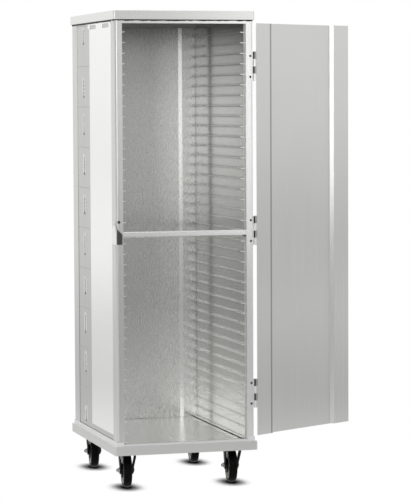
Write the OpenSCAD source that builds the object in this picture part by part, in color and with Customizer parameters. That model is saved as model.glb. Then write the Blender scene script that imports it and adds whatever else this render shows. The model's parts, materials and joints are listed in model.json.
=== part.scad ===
// Enclosed meal tray cart: a welded aluminium cabinet on four swivel casters.
// The cabinet opens at the front (-Y), X runs to the right of someone who faces it, Z is up.
// The origin lies on the floor under the middle of the cabinet.

/* [Cabinet] */
// Width over the corner posts
body_w = 518; // [440:1:640]
// Depth over the corner posts
body_d = 676; // [560:1:800]
// Planks stacked in each side wall
planks = 10; // [5:1:10]
// Distance from one tray ledge to the next
ledge_pitch = 38.1; // [32:0.1:44]
// Tray ledges on one plank
ledges_per_plank = 4; // [3:1:5]

/* [Corner posts] */
// Width of a post's front or rear face
post_face = 27.1; // [24:0.1:34]
// Depth of a front post's side face
post_side_front = 58; // [45:1:80]
// Depth of a rear post's side face
post_side_rear = 83; // [60:1:110]
// Depth of the flange that keeps the full width of the post
post_flange = 12; // [6:0.5:18]
// Wall thickness of the posts
post_wall = 2.5; // [1.5:0.1:3.5]
// Radius of the outer corner of a post
post_round = 8; // [4.5:0.5:11]

/* [Side walls] */
// How far the planks lie back from the side faces of the posts
wall_recess = 1.5; // [1:0.1:3]
// How far a plank's inner web stands inboard of the posts
web_inset = 1.5; // [0:0.1:4]
// Thickness of a plank's inner web
web_t = 4; // [2.5:0.1:5]
// Thickness of a plank's outer skin and ribs
skin_t = 2; // [1.2:0.1:2.5]
// Distance from the front of the posts to the front ends of the ledges
ledge_front = 21; // [16:0.5:30]
// How far a ledge stands out from its web
ledge_reach = 13.9; // [8:0.1:18]
// Thickness of a ledge at its tip
ledge_tip_t = 2.2; // [1.2:0.1:3]
// Thickness of a ledge at its root
ledge_root_t = 4.5; // [2.5:0.1:4.8]
// Height of the lowest ledge above the bottom edge of its plank
ledge_first = 4.9; // [4.8:0.1:12]
// Width of the tongue that locks a plank into the next one
tongue_w = 9; // [6:0.5:14]
// Height of that tongue
tongue_h = 3; // [2:0.5:4]
// Slack of a tongue in its groove
tongue_slack = 0.15; // [0.1:0.05:0.4]
// Width of the V groove between two planks
seam_w = 0.8; // [0.4:0.1:1.2]
// Distance from the front of the posts to the upright seam in the walls
upright_seam_y = 490; // [420:1:520]
// Depth of that seam
upright_seam_depth = 0.7; // [0.3:0.1:1]

/* [Cover sheets] */
// Thickness of the smooth cover sheet on each side
cover_t = 1.5; // [0.8:0.1:1.5]
// Distance from the front of the posts to the rear edge of the sheet
cover_rear = 389; // [300:1:400]
// Height of the bare strip under the sheet, above the deck
cover_foot = 29; // [15:1:60]
// Distance from the walls' upper edge to the top of the sheet
cover_rise = 3.5; // [0:0.5:8]
// Radius of the upper corners of the sheet
cover_round = 12; // [4:1:20]
// Length of the tab at the sheet's upper rear corner
cover_tab = 25; // [10:1:40]
// Height of that tab
cover_tab_h = 18; // [10:1:30]
// Length of the two slots through which the sheet is welded to the wall
cover_slot = 98; // [40:1:105]
// Height of those slots
cover_slot_h = 15; // [8:0.5:18]

/* [Base, deck and cap] */
// Height of the perimeter channel's underside above the floor
base_z = 135.6; // [134:0.1:139]
// Height of the perimeter channel
base_h = 32.6; // [29:0.1:45]
// How far the channel stands out round the posts
base_overhang = 9; // [5:0.5:25]
// Wall thickness of the channel
base_t = 3; // [2:0.1:4]
// Width of the channel's upper flange inside the body's outline
base_flange = 34; // [30:1:60]
// Width of the channel's lower lip
base_lip = 14; // [8:1:16]
// Height of the rim that holds the foot of the body
rim_h = 16; // [8:0.5:18]
// Thickness of that rim
rim_t = 2; // [1:0.1:4]
// Height of the deck above the channel
deck_rise = 7.4; // [5:0.1:12]
// Thickness of the deck's sheet
deck_t = 2; // [1.5:0.1:3]
// Height of the top rails above the planks
rail_h = 38.8; // [30:0.1:60]
// Depth of the header over the opening
header_d = 20; // [12:0.5:20]
// How far the header hangs below the planks' upper edge
header_drop = 4; // [0:0.5:12]
// Thickness of the cap's sheet
cap_t = 2.5; // [1.5:0.1:4]
// Height of the cap's rim
cap_rim = 31.4; // [20:0.1:34]
// How far the cap stands out round the posts
cap_overhang = 5.3; // [4.5:0.1:20]
// Radius of the cap's upright corners
cap_round = 5; // [4.2:0.1:10]

/* [Brace and back panel] */
// Height of the brace across the opening
bar_h = 22; // [15:0.5:30]
// Depth of the brace
bar_d = 18; // [12:0.5:20]
// Bevel along the brace's front edges
bar_bevel = 4; // [1:0.5:5]
// How far the middle of the brace lies under the middle of the walls
bar_drop = 2.7; // [-10:0.1:10]
// Thickness of the back panel
back_t = 2; // [1.2:0.1:2.5]
// How far the middle of the back panel is pressed outwards
back_press = 4; // [2:0.5:11.5]
// Width of the bevel round that middle
back_bevel = 14; // [8:0.5:20]
// Width of the back panel's flat margins
back_margin = 58; // [30:1:90]

/* [Door] */
// Angle by which the door is open
door_angle = 210; // [0:1:250]
// Width of the door
door_w = 514; // [430:1:514]
// Clear height from the rim of the base to the door
door_lift = 4.3; // [3:0.1:10]
// Clear height from the door to the cap
door_head = 12.5; // [5:0.5:30]
// Thickness of the door's sheet
door_t = 2; // [1.2:0.1:2.5]
// How far the middle of the door is pressed outwards
door_press = 11.5; // [6:0.5:14]
// Width of the door's flat margins
door_margin = 83; // [83:1:110]
// Gap between the closed door and the posts
door_gap = 3; // [2.8:0.1:5]

/* [Hinges] */
// Height of a hinge
hinge_h = 106; // [80:1:140]
// Distance from the door's end to the middle of the nearest hinge
hinge_inset = 156; // [80:1:250]
// Radius of the knuckles
knuckle_r = 6; // [5.5:0.1:6.2]
// Radius of the hinge pin
pin_r = 2.5; // [1.5:0.1:3]
// Thickness of the hinge leaves
leaf_t = 2.5; // [1.5:0.1:2.5]
// Width of a leaf, from the hinge axis
leaf_w = 22.5; // [16:0.5:24]
// Distance from the side of the posts to the hinge axis
hinge_out = 4.5; // [3:0.1:8]
// Running clearance round a pin
run_fit = 0.05; // [0.02:0.01:0.1]
// Gap between two knuckles
knuckle_gap = 0.3; // [0.2:0.05:0.6]
// Diameter of the screw holes
screw_d = 5; // [3:0.1:6]
// Distance from one screw to the other in a leaf
screw_pitch = 76; // [50:1:80]

/* [Latch] */
// Angle by which the latch lever is lifted
latch_lift = 45; // [0:1:45]
// Thickness of the lever
lever_t = 3; // [2.5:0.1:3.4]
// Height of the lever's tongue
tongue_z = 12; // [8:0.5:12]
// Length of the lever's handle from its pivot
lever_len = 58; // [40:1:58]
// Distance from the door's free edge to the pivot
pivot_inset = 35; // [32:1:35]
// Thickness of the keeper's plate
keeper_t = 3; // [2:0.1:4]
// How far the keeper stands out in front of the posts
keeper_reach = 13.5; // [13.2:0.1:20]
// Length of the keeper along the side of the post
keeper_back = 46; // [30:1:55]
// Height of the keeper's plate
keeper_h = 66; // [58:1:90]
// Thickness of the strike pad under the door's edge
pad_t = 2.2; // [1:0.1:2.4]

/* [Casters] */
// Diameter of the wheels
wheel_d = 127; // [110:1:128]
// Width of the tyres
tyre_w = 32; // [24:1:36]
// Width over the wheel's hub
hub_w = 40; // [36:1:44]
// Ribs on each side of a wheel's web
wheel_ribs = 8; // [4:1:12]
// Distance from the swivel axis to the axle
trail = 38; // [30:1:42]
// Angle by which the casters are turned
caster_turn = 7.5; // [0:0.1:360]
// Distance from the body's side to a swivel axis
caster_inset_x = 58; // [56:1:100]
// Distance from the body's front or rear to a swivel axis
caster_inset_y = 82.6; // [70:0.1:130]
// Height of a caster from the floor to its plate's top
caster_h = 157; // [156:0.1:158]
// Width over a fork's shoulders
fork_w = 61; // [56:1:66]
// Height of the straight part under a fork's crown
fork_shoulder = 32; // [20:1:40]
// Radius of a fork's leg round the axle
leg_end_r = 15; // [10:0.5:20]
// Thickness of the caster's plate
plate_t = 4; // [3:0.1:5]
// Radius of the axle bolt
axle_r = 4; // [3:0.1:6]
// Radius of the kingpin
kingpin_r = 6; // [4:0.1:8]

/* [Hidden] */
$fn = 64;
overlap = 0.01;

// Heights
base_top = base_z + base_h;
rim_top = base_top + rim_h;
deck_top = base_top + deck_rise;
plank_h = ledge_pitch * ledges_per_plank;
wall_h = plank_h * planks;
wall_top = deck_top + wall_h;
rail_top = wall_top + rail_h;
cap_top = rail_top + cap_t;
cap_rim_z = cap_top - cap_rim;
wall_mid = deck_top + wall_h / 2;

// The cabinet's outline and the planes that its walls lie in
half_w = body_w / 2;
half_d = body_d / 2;
post_inner_x = half_w - post_face;
skin_x = half_w - wall_recess;
web_in_x = post_inner_x - web_inset;
web_out_x = web_in_x + web_t;
post_gap = 0.2;
wall_front_y = -half_d + ledge_front;
back_in_y = half_d - post_flange - back_t;
plank_len = back_in_y - wall_front_y;

// The door in its own frame: the hinge axis is at x = 0, y = 0, and the closed door runs to -X
door_z = rim_top + door_lift;
door_top = cap_rim_z - door_head;
door_mid = (door_z + door_top) / 2;
hinge_x = half_w + hinge_out;
hinge_y = -half_d - knuckle_r - 0.5;
door_in = -half_d - door_gap - hinge_y;
door_out = door_in - door_t;
door_edge = knuckle_r + knuckle_gap;
leaf_back = -half_d - hinge_y;
hinge_zs = [door_z + hinge_inset, door_mid, door_top - hinge_inset];
knuckle_h = hinge_h / 4;
screw_x = -(leaf_w + knuckle_r + 1.5) / 2;

// Latch: the keeper's notch takes the tongue
lever_gap = 0.3;
latch_plate_t = 2;
lever_back = door_out - latch_plate_t - lever_gap;
lever_front = lever_back - lever_t;
notch_slack = 0.7;
notch_near = -half_d - hinge_y - lever_back - notch_slack;
notch_far = notch_near + lever_t + 2 * notch_slack;
keeper_z = door_mid - keeper_h / 2 - 9;
notch_z = keeper_z + keeper_h - 19;
pivot_z = notch_z + 1 + tongue_z / 2;
pivot_x = -door_edge - door_w + pivot_inset;
stud_r = 5;
boss_r = 14;

// Casters
wheel_r = wheel_d / 2;
plate_z = caster_h - plate_t;
race_h = 4.5;
race_r = 31;
crown_top = plate_z - race_h - 0.3;
crown_h = 7.7;
crown_z = crown_top - crown_h;
leg_t = 4.5;
leg_in = hub_w / 2 + 0.5;
channel_wall = 3;
CASTERS = ["front_left", "front_right", "rear_left", "rear_right"];

function side_of(name) = (name == "front_left" || name == "rear_left") ? -1 : 1;
function end_of(name) = (name == "front_left" || name == "front_right") ? -1 : 1;
function numbered(prefix, count) = [for (i = [1:count]) str(prefix, i)];

// A box from its two opposite corners
module box(low, high) {
    translate(low) cube(high - low);
}

// A rectangle with round corners, centred
module round_rect(w, d, r) {
    square([w - 2 * r, d], center = true);
    square([w, d - 2 * r], center = true);
    for (x = [-1, 1], y = [-1, 1])
        translate([x * (w / 2 - r), y * (d / 2 - r)]) circle(r);
}

// A slot with round ends, centred
module slot(length, height) {
    square([length - height, height], center = true);
    for (x = [-1, 1]) translate([x * (length - height) / 2, 0]) circle(height / 2);
}

// Places a shape drawn for the right side on the right (1) or, mirrored, on the left (-1)
module on_side(side) {
    if (side > 0) children();
    else mirror([1, 0, 0]) children();
}

// Extrudes an X-Z outline along Y, from y0 to y1
module along_y(y0, y1) {
    translate([0, y1, 0]) rotate([90, 0, 0]) linear_extrude(y1 - y0) children();
}

// Extrudes a Y-Z outline along X, from x0 to x1
module along_x(x0, x1) {
    translate([x0, 0, 0]) rotate([90, 0, 90]) linear_extrude(x1 - x0) children();
}

// Moves a shape from the door's own frame to the hinge, turned by the door's angle
module on_door() {
    translate([hinge_x, hinge_y, 0]) rotate([0, 0, door_angle]) children();
}

// Base: a perimeter channel, open inwards, with a rim round the body's foot
module base_frame() {
    out = base_overhang;
    color("silver") difference() {
        union() {
            box([-half_w - out, -half_d - out, base_z], [half_w + out, half_d + out, base_top]);
            box([-half_w - rim_t, -half_d - rim_t, base_top - overlap],
                [half_w + rim_t, half_d + rim_t, rim_top]);
        }
        // the hollow between the flange and the lip
        box([-half_w - out + base_t, -half_d - out + base_t, base_z + base_t],
            [half_w + out - base_t, half_d + out - base_t, base_top - base_t]);
        // the window inside the lip
        inset = out - base_lip;
        box([-half_w - inset, -half_d - inset, base_z - 1],
            [half_w + inset, half_d + inset, base_z + 2 * base_t]);
        // the window inside the flange
        box([-half_w + base_flange, -half_d + base_flange, base_z],
            [half_w - base_flange, half_d - base_flange, rim_top + 1]);
        // the room for the body inside the rim
        box([-half_w, -half_d, base_top], [half_w, half_d, rim_top + 1]);
        // the rim's gap in front of the opening, with sloping ends
        slope = rim_h;
        along_y(-half_d - out, -half_d + 1) polygon([
            [-post_inner_x, base_top], [post_inner_x, base_top],
            [post_inner_x + slope / 4, rim_top + 1], [-post_inner_x - slope / 4, rim_top + 1]
        ]);
    }
}

// Deck: a pan turned down on all four sides, notched round the posts
module deck_outline(inset) {
    difference() {
        translate([-skin_x + inset, -half_d + inset])
            square([2 * (skin_x - inset), half_d + back_in_y - 2 * inset]);
        for (x = [-1, 1]) {
            translate([x * (half_w + post_inner_x - inset) / 2, -half_d + post_side_front / 2])
                square([post_face + inset + overlap, post_side_front + 2 * inset + overlap], center = true);
            translate([x * (half_w + post_inner_x - inset) / 2, half_d - post_side_rear / 2])
                square([post_face + inset + overlap, post_side_rear + 2 * inset + overlap], center = true);
        }
    }
}

module deck() {
    color("gainsboro") difference() {
        translate([0, 0, base_top]) linear_extrude(deck_rise) deck_outline(0);
        translate([0, 0, base_top - 1]) linear_extrude(deck_rise - deck_t + 1) deck_outline(deck_t);
    }
}

// Channel across the base that carries two casters
module cross_channel(end) {
    half_len = half_w + base_overhang - base_t;
    half_width = 60;
    y = end * (half_d - caster_inset_y);
    channel_top = base_top - base_t;
    color("silver") difference() {
        box([-half_len, y - half_width, caster_h], [half_len, y + half_width, channel_top]);
        box([-half_len - 1, y - half_width + channel_wall, caster_h + channel_wall],
            [half_len + 1, y + half_width - channel_wall, channel_top + 1]);
    }
}

// A rectangle with one round corner, at its low end
module round_corner(w, d, r) {
    translate([r, 0]) square([w - r, d]);
    translate([0, r]) square([w, d - r]);
    translate([r, r]) circle(r);
}

// Corner post: an extrusion with a full-width flange and a narrower box behind it
module post_outline(side_face) {
    neck = post_face - web_t + web_inset - post_gap;
    difference() {
        union() {
            translate([-half_w, 0]) round_corner(post_face, post_flange, post_round);
            translate([-half_w, 0]) round_corner(neck, side_face, post_round);
        }
        translate([-half_w + post_wall, post_wall])
            round_corner(neck - 2 * post_wall, side_face - 2 * post_wall, post_round - post_wall);
        // the fine groove down the face
        translate([-half_w + post_face / 2, 0]) circle(0.6, $fn = 4);
    }
}

module post(side, end) {
    side_face = end < 0 ? post_side_front : post_side_rear;
    color("lightgray") on_side(-side) translate([0, end < 0 ? -half_d : half_d, base_top])
        mirror([0, end < 0 ? 0 : 1, 0])
            linear_extrude(rail_top - base_top) post_outline(side_face);
}

// Cuts what the two posts of one side stand in out of a wall piece
module coped(z0, z1) {
    difference() {
        children();
        box([web_out_x, wall_front_y - 1, z0 - 1],
            [half_w + 1, -half_d + post_side_front + post_gap, z1 + 1]);
        box([web_out_x, half_d - post_side_rear - post_gap, z0 - 1],
            [half_w + 1, back_in_y + 1, z1 + 1]);
    }
}

// Plank: a hollow extrusion with ledges, a tongue on top and a groove below, drawn in X-Z
module plank_outline() {
    cell_w = skin_x - web_out_x - skin_t;
    cell_h = plank_h / 2 - 1.5 * skin_t - tongue_h / 2;
    tongue_x = (skin_x + web_out_x) / 2;
    difference() {
        union() {
            translate([web_in_x, 0]) square([skin_x - web_in_x, plank_h]);
            translate([tongue_x - tongue_w / 2, plank_h - overlap])
                square([tongue_w, tongue_h + overlap]);
            for (i = [0:ledges_per_plank - 1])
                translate([web_in_x, ledge_first + i * ledge_pitch]) ledge_outline();
        }
        translate([tongue_x - tongue_w / 2 - tongue_slack, -1])
            square([tongue_w + 2 * tongue_slack, tongue_h + tongue_slack + 1]);
        // two hollow cells, one above the other
        translate([web_out_x, tongue_h + skin_t]) square([cell_w, cell_h]);
        translate([web_out_x, plank_h / 2 + tongue_h / 2 + skin_t / 2]) square([cell_w, cell_h]);
        // the V grooves along the outer edges
        for (z = [0, plank_h])
            translate([skin_x, z]) circle(seam_w, $fn = 4);
    }
}

// Ledge: flat on top, thicker at its root
module ledge_outline() {
    polygon([
        [overlap, 0], [-ledge_reach, 0],
        [-ledge_reach, -ledge_tip_t], [overlap, -ledge_root_t]
    ]);
}

module plank(side, number) {
    z = deck_top + (number - 1) * plank_h;
    seam_y = -half_d + upright_seam_y;
    color("lightgray") on_side(side) difference() {
        coped(z, z + plank_h + tongue_h)
            along_y(wall_front_y, back_in_y) translate([0, z]) plank_outline();
        translate([skin_x, seam_y, z - 1]) rotate([0, 0, 45])
            translate([-upright_seam_depth, -upright_seam_depth, 0] * 0.7)
                cube([upright_seam_depth * 1.4, upright_seam_depth * 1.4, plank_h + 2]);
    }
}

// Top rail: closes the top of a side wall between its posts
module top_rail(side) {
    tongue_x = (skin_x + web_out_x) / 2;
    color("lightgray") on_side(side) coped(wall_top, rail_top)
        along_y(wall_front_y, back_in_y) difference() {
            translate([web_in_x, wall_top]) square([skin_x - web_in_x, rail_h]);
            translate([web_out_x, wall_top + tongue_h + skin_t])
                square([skin_x - skin_t - web_out_x, rail_h - tongue_h - 2 * skin_t]);
            translate([tongue_x - tongue_w / 2 - tongue_slack, wall_top - 1])
                square([tongue_w + 2 * tongue_slack, tongue_h + tongue_slack + 1]);
        }
}

// Headers: box sections over the opening and along the back panel's upper edge
module header_front() {
    z = wall_top - header_drop;
    color("white") along_x(-post_inner_x, post_inner_x) difference() {
        translate([-half_d, z]) square([header_d, rail_top - z]);
        translate([-half_d + skin_t, z + skin_t])
            square([header_d - 2 * skin_t, rail_top - z - 2 * skin_t]);
    }
}

module header_rear() {
    z = wall_top;
    y = back_in_y - header_d;
    color("silver") along_x(-web_in_x, web_in_x) difference() {
        translate([y, z]) square([header_d, rail_h]);
        translate([y + skin_t, z + skin_t])
            square([header_d - 2 * skin_t, rail_h - 2 * skin_t]);
    }
}

// Cap: a lid with a turned-down rim that stands out round the body
module cap() {
    out = 2 * cap_overhang;
    color("silver") difference() {
        translate([0, 0, cap_rim_z]) linear_extrude(cap_rim)
            round_rect(body_w + out, body_d + out, cap_round);
        translate([0, 0, cap_rim_z - 1]) linear_extrude(cap_rim - cap_t + 1)
            round_rect(body_w + out - 2 * cap_t, body_d + out - 2 * cap_t, cap_round - cap_t);
    }
}

// Brace across the opening at half height
module mid_bar() {
    z = wall_mid - bar_drop - bar_h / 2;
    y = -half_d + 1;
    wall = 2;
    color("white") along_x(-post_inner_x, post_inner_x) difference() {
        polygon([
            [y + bar_bevel, z], [y + bar_d, z], [y + bar_d, z + bar_h],
            [y + bar_bevel, z + bar_h], [y, z + bar_h - bar_bevel], [y, z + bar_bevel]
        ]);
        translate([y + bar_bevel, z + wall]) square([bar_d - bar_bevel - wall, bar_h - 2 * wall]);
    }
}

// Section through a sheet w wide whose middle is pressed to -Y, with a bevel on each side of it
module pressed_sheet(w, margin, bevel, press, t) {
    bend = t * tan(atan2(press, bevel) / 2);
    polygon([
        [0, 0], [margin, 0], [margin + bevel, -press],
        [w - margin - bevel, -press], [w - margin, 0], [w, 0],
        [w, -t], [w - margin + bend, -t], [w - margin - bevel + bend, -press - t],
        [margin + bevel - bend, -press - t], [margin - bend, -t], [0, -t]
    ]);
}

// Back panel: its margins lie against the flanges of the rear posts
module back_panel() {
    w = 2 * (web_out_x - post_gap);
    color("lightgray") translate([-w / 2, back_in_y, base_top]) mirror([0, 1, 0])
        linear_extrude(rail_top - base_top)
            pressed_sheet(w, back_margin, back_bevel, back_press, back_t);
}

// Cover sheet on the front part of a side wall, with a tab at its upper rear corner
module side_cover(side) {
    y0 = -half_d + post_side_front + post_gap;
    y1 = -half_d + cover_rear;
    z0 = deck_top + cover_foot;
    z1 = wall_top + cover_rise;
    r = cover_round;
    tab_r = cover_tab_h / 3;
    color("whitesmoke") on_side(side) along_x(skin_x, skin_x + cover_t) difference() {
        union() {
            translate([y0, z0]) square([y1 - y0, z1 - z0 - r]);
            translate([y0 + r, z1 - r - overlap]) square([y1 - y0 - r, r + overlap]);
            translate([y0 + r, z1 - r]) circle(r);
            translate([y1 - overlap, z1 - cover_tab_h])
                square([cover_tab - tab_r + overlap, cover_tab_h]);
            translate([y1, z1 - cover_tab_h + tab_r])
                square([cover_tab, cover_tab_h - 2 * tab_r]);
            for (z = [z1 - tab_r, z1 - cover_tab_h + tab_r])
                translate([y1 + cover_tab - tab_r, z]) circle(tab_r);
        }
        for (y = [y0 + (y1 - y0) * 0.24, y0 + (y1 - y0) * 0.84 - 2])
            translate([y, z1 - 12]) slot(cover_slot, cover_slot_h);
    }
}

// Keeper: a plate on the left post whose notch holds the latch's tongue
module keeper() {
    front = -half_d - keeper_reach;
    hump_r = 11;
    color("silver") along_x(-half_w - keeper_t, -half_w) difference() {
        union() {
            translate([front, keeper_z])
                square([keeper_reach + keeper_back, keeper_h - 9]);
            translate([-half_d - notch_near, keeper_z])
                square([notch_near + keeper_back - hump_r, keeper_h]);
            translate([-half_d + hump_r + 8, keeper_z + keeper_h + 8]) circle(hump_r);
            translate([-half_d + hump_r + 8 - hump_r, keeper_z + keeper_h - 1])
                square([2 * hump_r, 9]);
        }
        translate([-half_d - notch_far, notch_z]) square([notch_far - notch_near, keeper_h]);
        translate([-half_d + hump_r + 8, keeper_z + keeper_h + 8]) circle(4);
    }
}

// Strike pad: a thin sloping pad on the post's face that the door closes on
module strike_pad() {
    edge = 3.3;
    w = post_face - edge - 4;
    h = keeper_h - 10;
    color("#202020") along_y(-half_d - pad_t, -half_d)
        polygon([
            [-half_w + edge, keeper_z], [-half_w + edge + w, keeper_z],
            [-half_w + edge + w, keeper_z + h - w], [-half_w + edge, keeper_z + h]
        ]);
}

// Drills a hinge leaf, whose front is at the given y, for two countersunk screws
module screwed(front) {
    difference() {
        children();
        for (z = [hinge_h / 2 - screw_pitch / 2, hinge_h / 2 + screw_pitch / 2])
            translate([screw_x, front - 1, z]) rotate([-90, 0, 0]) {
                cylinder(d = screw_d, h = leaf_t + 2);
                cylinder(d1 = screw_d + 4, d2 = screw_d, h = 2);
            }
    }
}

// Post leaf of a hinge, with the pin and the first and third knuckle
module hinge_post_leaf(number) {
    z = hinge_zs[number - 1] - hinge_h / 2;
    clear_x = -knuckle_r - knuckle_gap - 0.5;
    color("darkgray") translate([hinge_x, hinge_y, z]) {
        screwed(leaf_back - leaf_t)
            box([-leaf_w, leaf_back - leaf_t, 0], [clear_x, leaf_back, hinge_h]);
        for (i = [0, 2])
            translate([0, 0, i * knuckle_h]) {
                cylinder(r = knuckle_r, h = knuckle_h - knuckle_gap);
                box([clear_x - 1, leaf_back - leaf_t, 0],
                    [-knuckle_gap, leaf_back, knuckle_h - knuckle_gap]);
            }
        cylinder(r = pin_r, h = hinge_h + 1);
        translate([0, 0, hinge_h]) cylinder(r1 = knuckle_r - 0.5, r2 = pin_r, h = 2.5);
    }
}

// Door leaf of a hinge, with the second and fourth knuckle
module hinge_door_leaf(number) {
    z = hinge_zs[number - 1] - hinge_h / 2;
    clear_x = -knuckle_r - 2 * knuckle_gap;
    color("darkgray") on_door() translate([0, 0, z]) difference() {
        union() {
            screwed(door_out - leaf_t)
                box([-leaf_w, door_out - leaf_t, 0], [clear_x, door_out, hinge_h - knuckle_gap]);
            for (i = [1, 3])
                translate([0, 0, i * knuckle_h]) {
                    cylinder(r = knuckle_r, h = knuckle_h - knuckle_gap);
                    box([clear_x - 1, door_out - leaf_t, 0], [0, door_out, knuckle_h - knuckle_gap]);
                }
        }
        translate([0, 0, -1]) cylinder(r = pin_r + run_fit, h = hinge_h + 2);
    }
}

// Door: one formed sheet whose middle is pressed outwards
module door_panel() {
    color("lightgray") on_door() translate([-door_edge - door_w, door_in, door_z])
        linear_extrude(door_top - door_z)
            pressed_sheet(door_w, door_margin, door_press, door_press, door_t);
}

// Latch plate: a backing plate on the door's outer face, with the stud that the lever turns on
module latch_plate() {
    plate_w = 52;
    plate_h = 96;
    head_t = 2.5;
    color("silver") on_door() translate([pivot_x, 0, pivot_z]) {
        along_y(door_out - latch_plate_t, door_out)
            translate([0, plate_h / 4]) round_rect(plate_w, plate_h, 6);
        along_y(lever_front - lever_gap - head_t, door_out - overlap) circle(stud_r);
        along_y(lever_front - lever_gap - head_t, lever_front - lever_gap) circle(stud_r + 3);
    }
}

// Latch lever: a tongue that drops into the keeper's notch, and an upright handle
module latch_lever() {
    tongue_len = pivot_inset + hinge_x - door_edge - door_w + half_w + keeper_t + 2;
    handle_w = 15;
    grip_out = 16;
    color("silver") on_door() translate([pivot_x, 0, pivot_z]) rotate([0, latch_lift, 0]) {
        along_y(lever_front, lever_back) difference() {
            union() {
                circle(boss_r);
                translate([-tongue_len, -tongue_z / 2]) square([tongue_len, tongue_z]);
                translate([-handle_w / 2, 0]) square([handle_w, lever_len - handle_w / 2]);
                translate([0, lever_len - handle_w / 2]) circle(handle_w / 2);
            }
            circle(stud_r + run_fit);
        }
        // the round grip at the handle's end
        along_y(lever_front - grip_out, lever_front + overlap)
            translate([0, lever_len - handle_w / 2]) circle(handle_w / 2 - 1);
    }
}

// Moves a shape from a caster's own frame, with its swivel axis at x = 0, y = 0, to its corner
module at_caster(name) {
    translate([side_of(name) * (half_w - caster_inset_x), end_of(name) * (half_d - caster_inset_y), 0])
        children();
}

// Top plate of a caster, with the upper race and the kingpin
module caster_plate(name) {
    plate_x = 90;
    plate_y = 102;
    head_h = 4;
    pin_end = crown_z - 0.3;
    color("#303030") at_caster(name) {
        translate([0, 0, plate_z]) linear_extrude(plate_t) round_rect(plate_x, plate_y, 8);
        translate([0, 0, plate_z - race_h]) cylinder(r = race_r, h = race_h + overlap);
        translate([0, 0, pin_end - 1]) cylinder(r = kingpin_r, h = plate_z - pin_end + 1);
        translate([0, 0, pin_end - head_h]) cylinder(r = kingpin_r + 3.5, h = head_h);
    }
}

// Front view of a fork: one plate bent down into two legs that draw in towards the axle
module fork_front_view() {
    top = crown_top - 1;
    wide = fork_w / 2;
    narrow = leg_in + leg_t;
    shoulder = top - fork_shoulder;
    knee = wheel_r + 10;
    low = wheel_r - leg_end_r - 1;
    difference() {
        polygon([
            [-wide, top], [-wide, shoulder], [-narrow, knee], [-narrow, low],
            [narrow, low], [narrow, knee], [wide, shoulder], [wide, top]
        ]);
        polygon([
            [leg_t - wide, top - 4], [leg_t - wide, shoulder], [-leg_in, knee], [-leg_in, low - 1],
            [leg_in, low - 1], [leg_in, knee], [wide - leg_t, shoulder], [wide - leg_t, top - 4]
        ]);
    }
}

// Side view of a fork: the legs taper from the crown to round ends at the axle
module fork_side_view() {
    top = crown_top;
    front = -17;
    rear = 23;
    near = leg_end_r * 0.85;
    translate([trail, wheel_r]) circle(leg_end_r);
    polygon([
        [front, top], [front, top - 14],
        [trail - near, wheel_r - near * 0.4], [trail, wheel_r],
        [trail + near, wheel_r + near * 0.4], [rear + 6, top - 30], [rear, top - 12], [rear, top]
    ]);
}

// Fork: a crown with two legs and the axle bolt between them
module fork(name) {
    nut_r = 8;
    nut_h = 7;
    tip = 5;
    outer = leg_in + leg_t;
    color("#282828") at_caster(name) rotate([0, 0, -caster_turn]) {
        difference() {
            union() {
                translate([0, 0, crown_z]) cylinder(r = race_r - 1, h = crown_h);
                intersection() {
                    along_y(-race_r, trail + leg_end_r + 5) fork_front_view();
                    along_x(-fork_w, fork_w) fork_side_view();
                }
            }
            translate([0, 0, crown_z - 1]) cylinder(r = kingpin_r + run_fit, h = crown_h + 2);
        }
        translate([0, trail, wheel_r]) rotate([0, 90, 0]) {
            translate([0, 0, -outer - nut_h - tip]) cylinder(r = axle_r, h = 2 * outer + nut_h + tip + 3);
            translate([0, 0, -outer - nut_h]) cylinder(r = nut_r, h = nut_h + 1, $fn = 6);
            translate([0, 0, outer - 1]) cylinder(r = nut_r, h = 4, $fn = 6);
        }
    }
}

// Wheel: hub, thin ribbed web, rim and a crowned tyre, turned about its axle
module wheel(name) {
    hub_r = 15;
    rim_r = wheel_r - 19;
    crown_r = 30;
    web = 8;
    rib_t = 3;
    rib_w = tyre_w * 0.7;
    color("#1c1c1c") at_caster(name) rotate([0, 0, -caster_turn])
        translate([0, trail, wheel_r]) rotate([0, 90, 0]) {
            rotate_extrude() {
                translate([axle_r + run_fit, -hub_w / 2]) square([hub_r - axle_r - run_fit, hub_w]);
                translate([hub_r - 1, -web / 2]) square([rim_r - hub_r + 2, web]);
                translate([rim_r - 4, -tyre_w / 2 + 3]) square([5, tyre_w - 6]);
                intersection() {
                    translate([rim_r, -tyre_w / 2]) square([wheel_r - rim_r, tyre_w]);
                    translate([wheel_r - crown_r, 0]) circle(crown_r);
                }
            }
            for (i = [1:wheel_ribs])
                rotate([0, 0, i * 360 / wheel_ribs])
                    translate([hub_r - 1, -rib_t / 2, -rib_w / 2]) cube([rim_r - 3 - hub_r, rib_t, rib_w]);
        }
}

base_frame();
deck();
cross_channel(-1);  // cross_channel_front
cross_channel(1);  // cross_channel_rear
for (c = CASTERS)
    post(side_of(c), end_of(c));
for (i = [1:planks]) {
    plank(-1, i);
    plank(1, i);
}
top_rail(-1);  // top_rail_left
top_rail(1);  // top_rail_right
header_front();
header_rear();
cap();
mid_bar();
back_panel();
side_cover(-1);  // side_cover_left
side_cover(1);  // side_cover_right
keeper();
strike_pad();
for (i = [1:3]) {
    hinge_post_leaf(i);
    hinge_door_leaf(i);
}
door_panel();
latch_plate();
latch_lever();
for (c = CASTERS) {
    caster_plate(c);
    fork(c);
    wheel(c);
}
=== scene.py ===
import json
import math
import random

import bmesh
import bpy
from mathutils import Matrix, Vector


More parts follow.
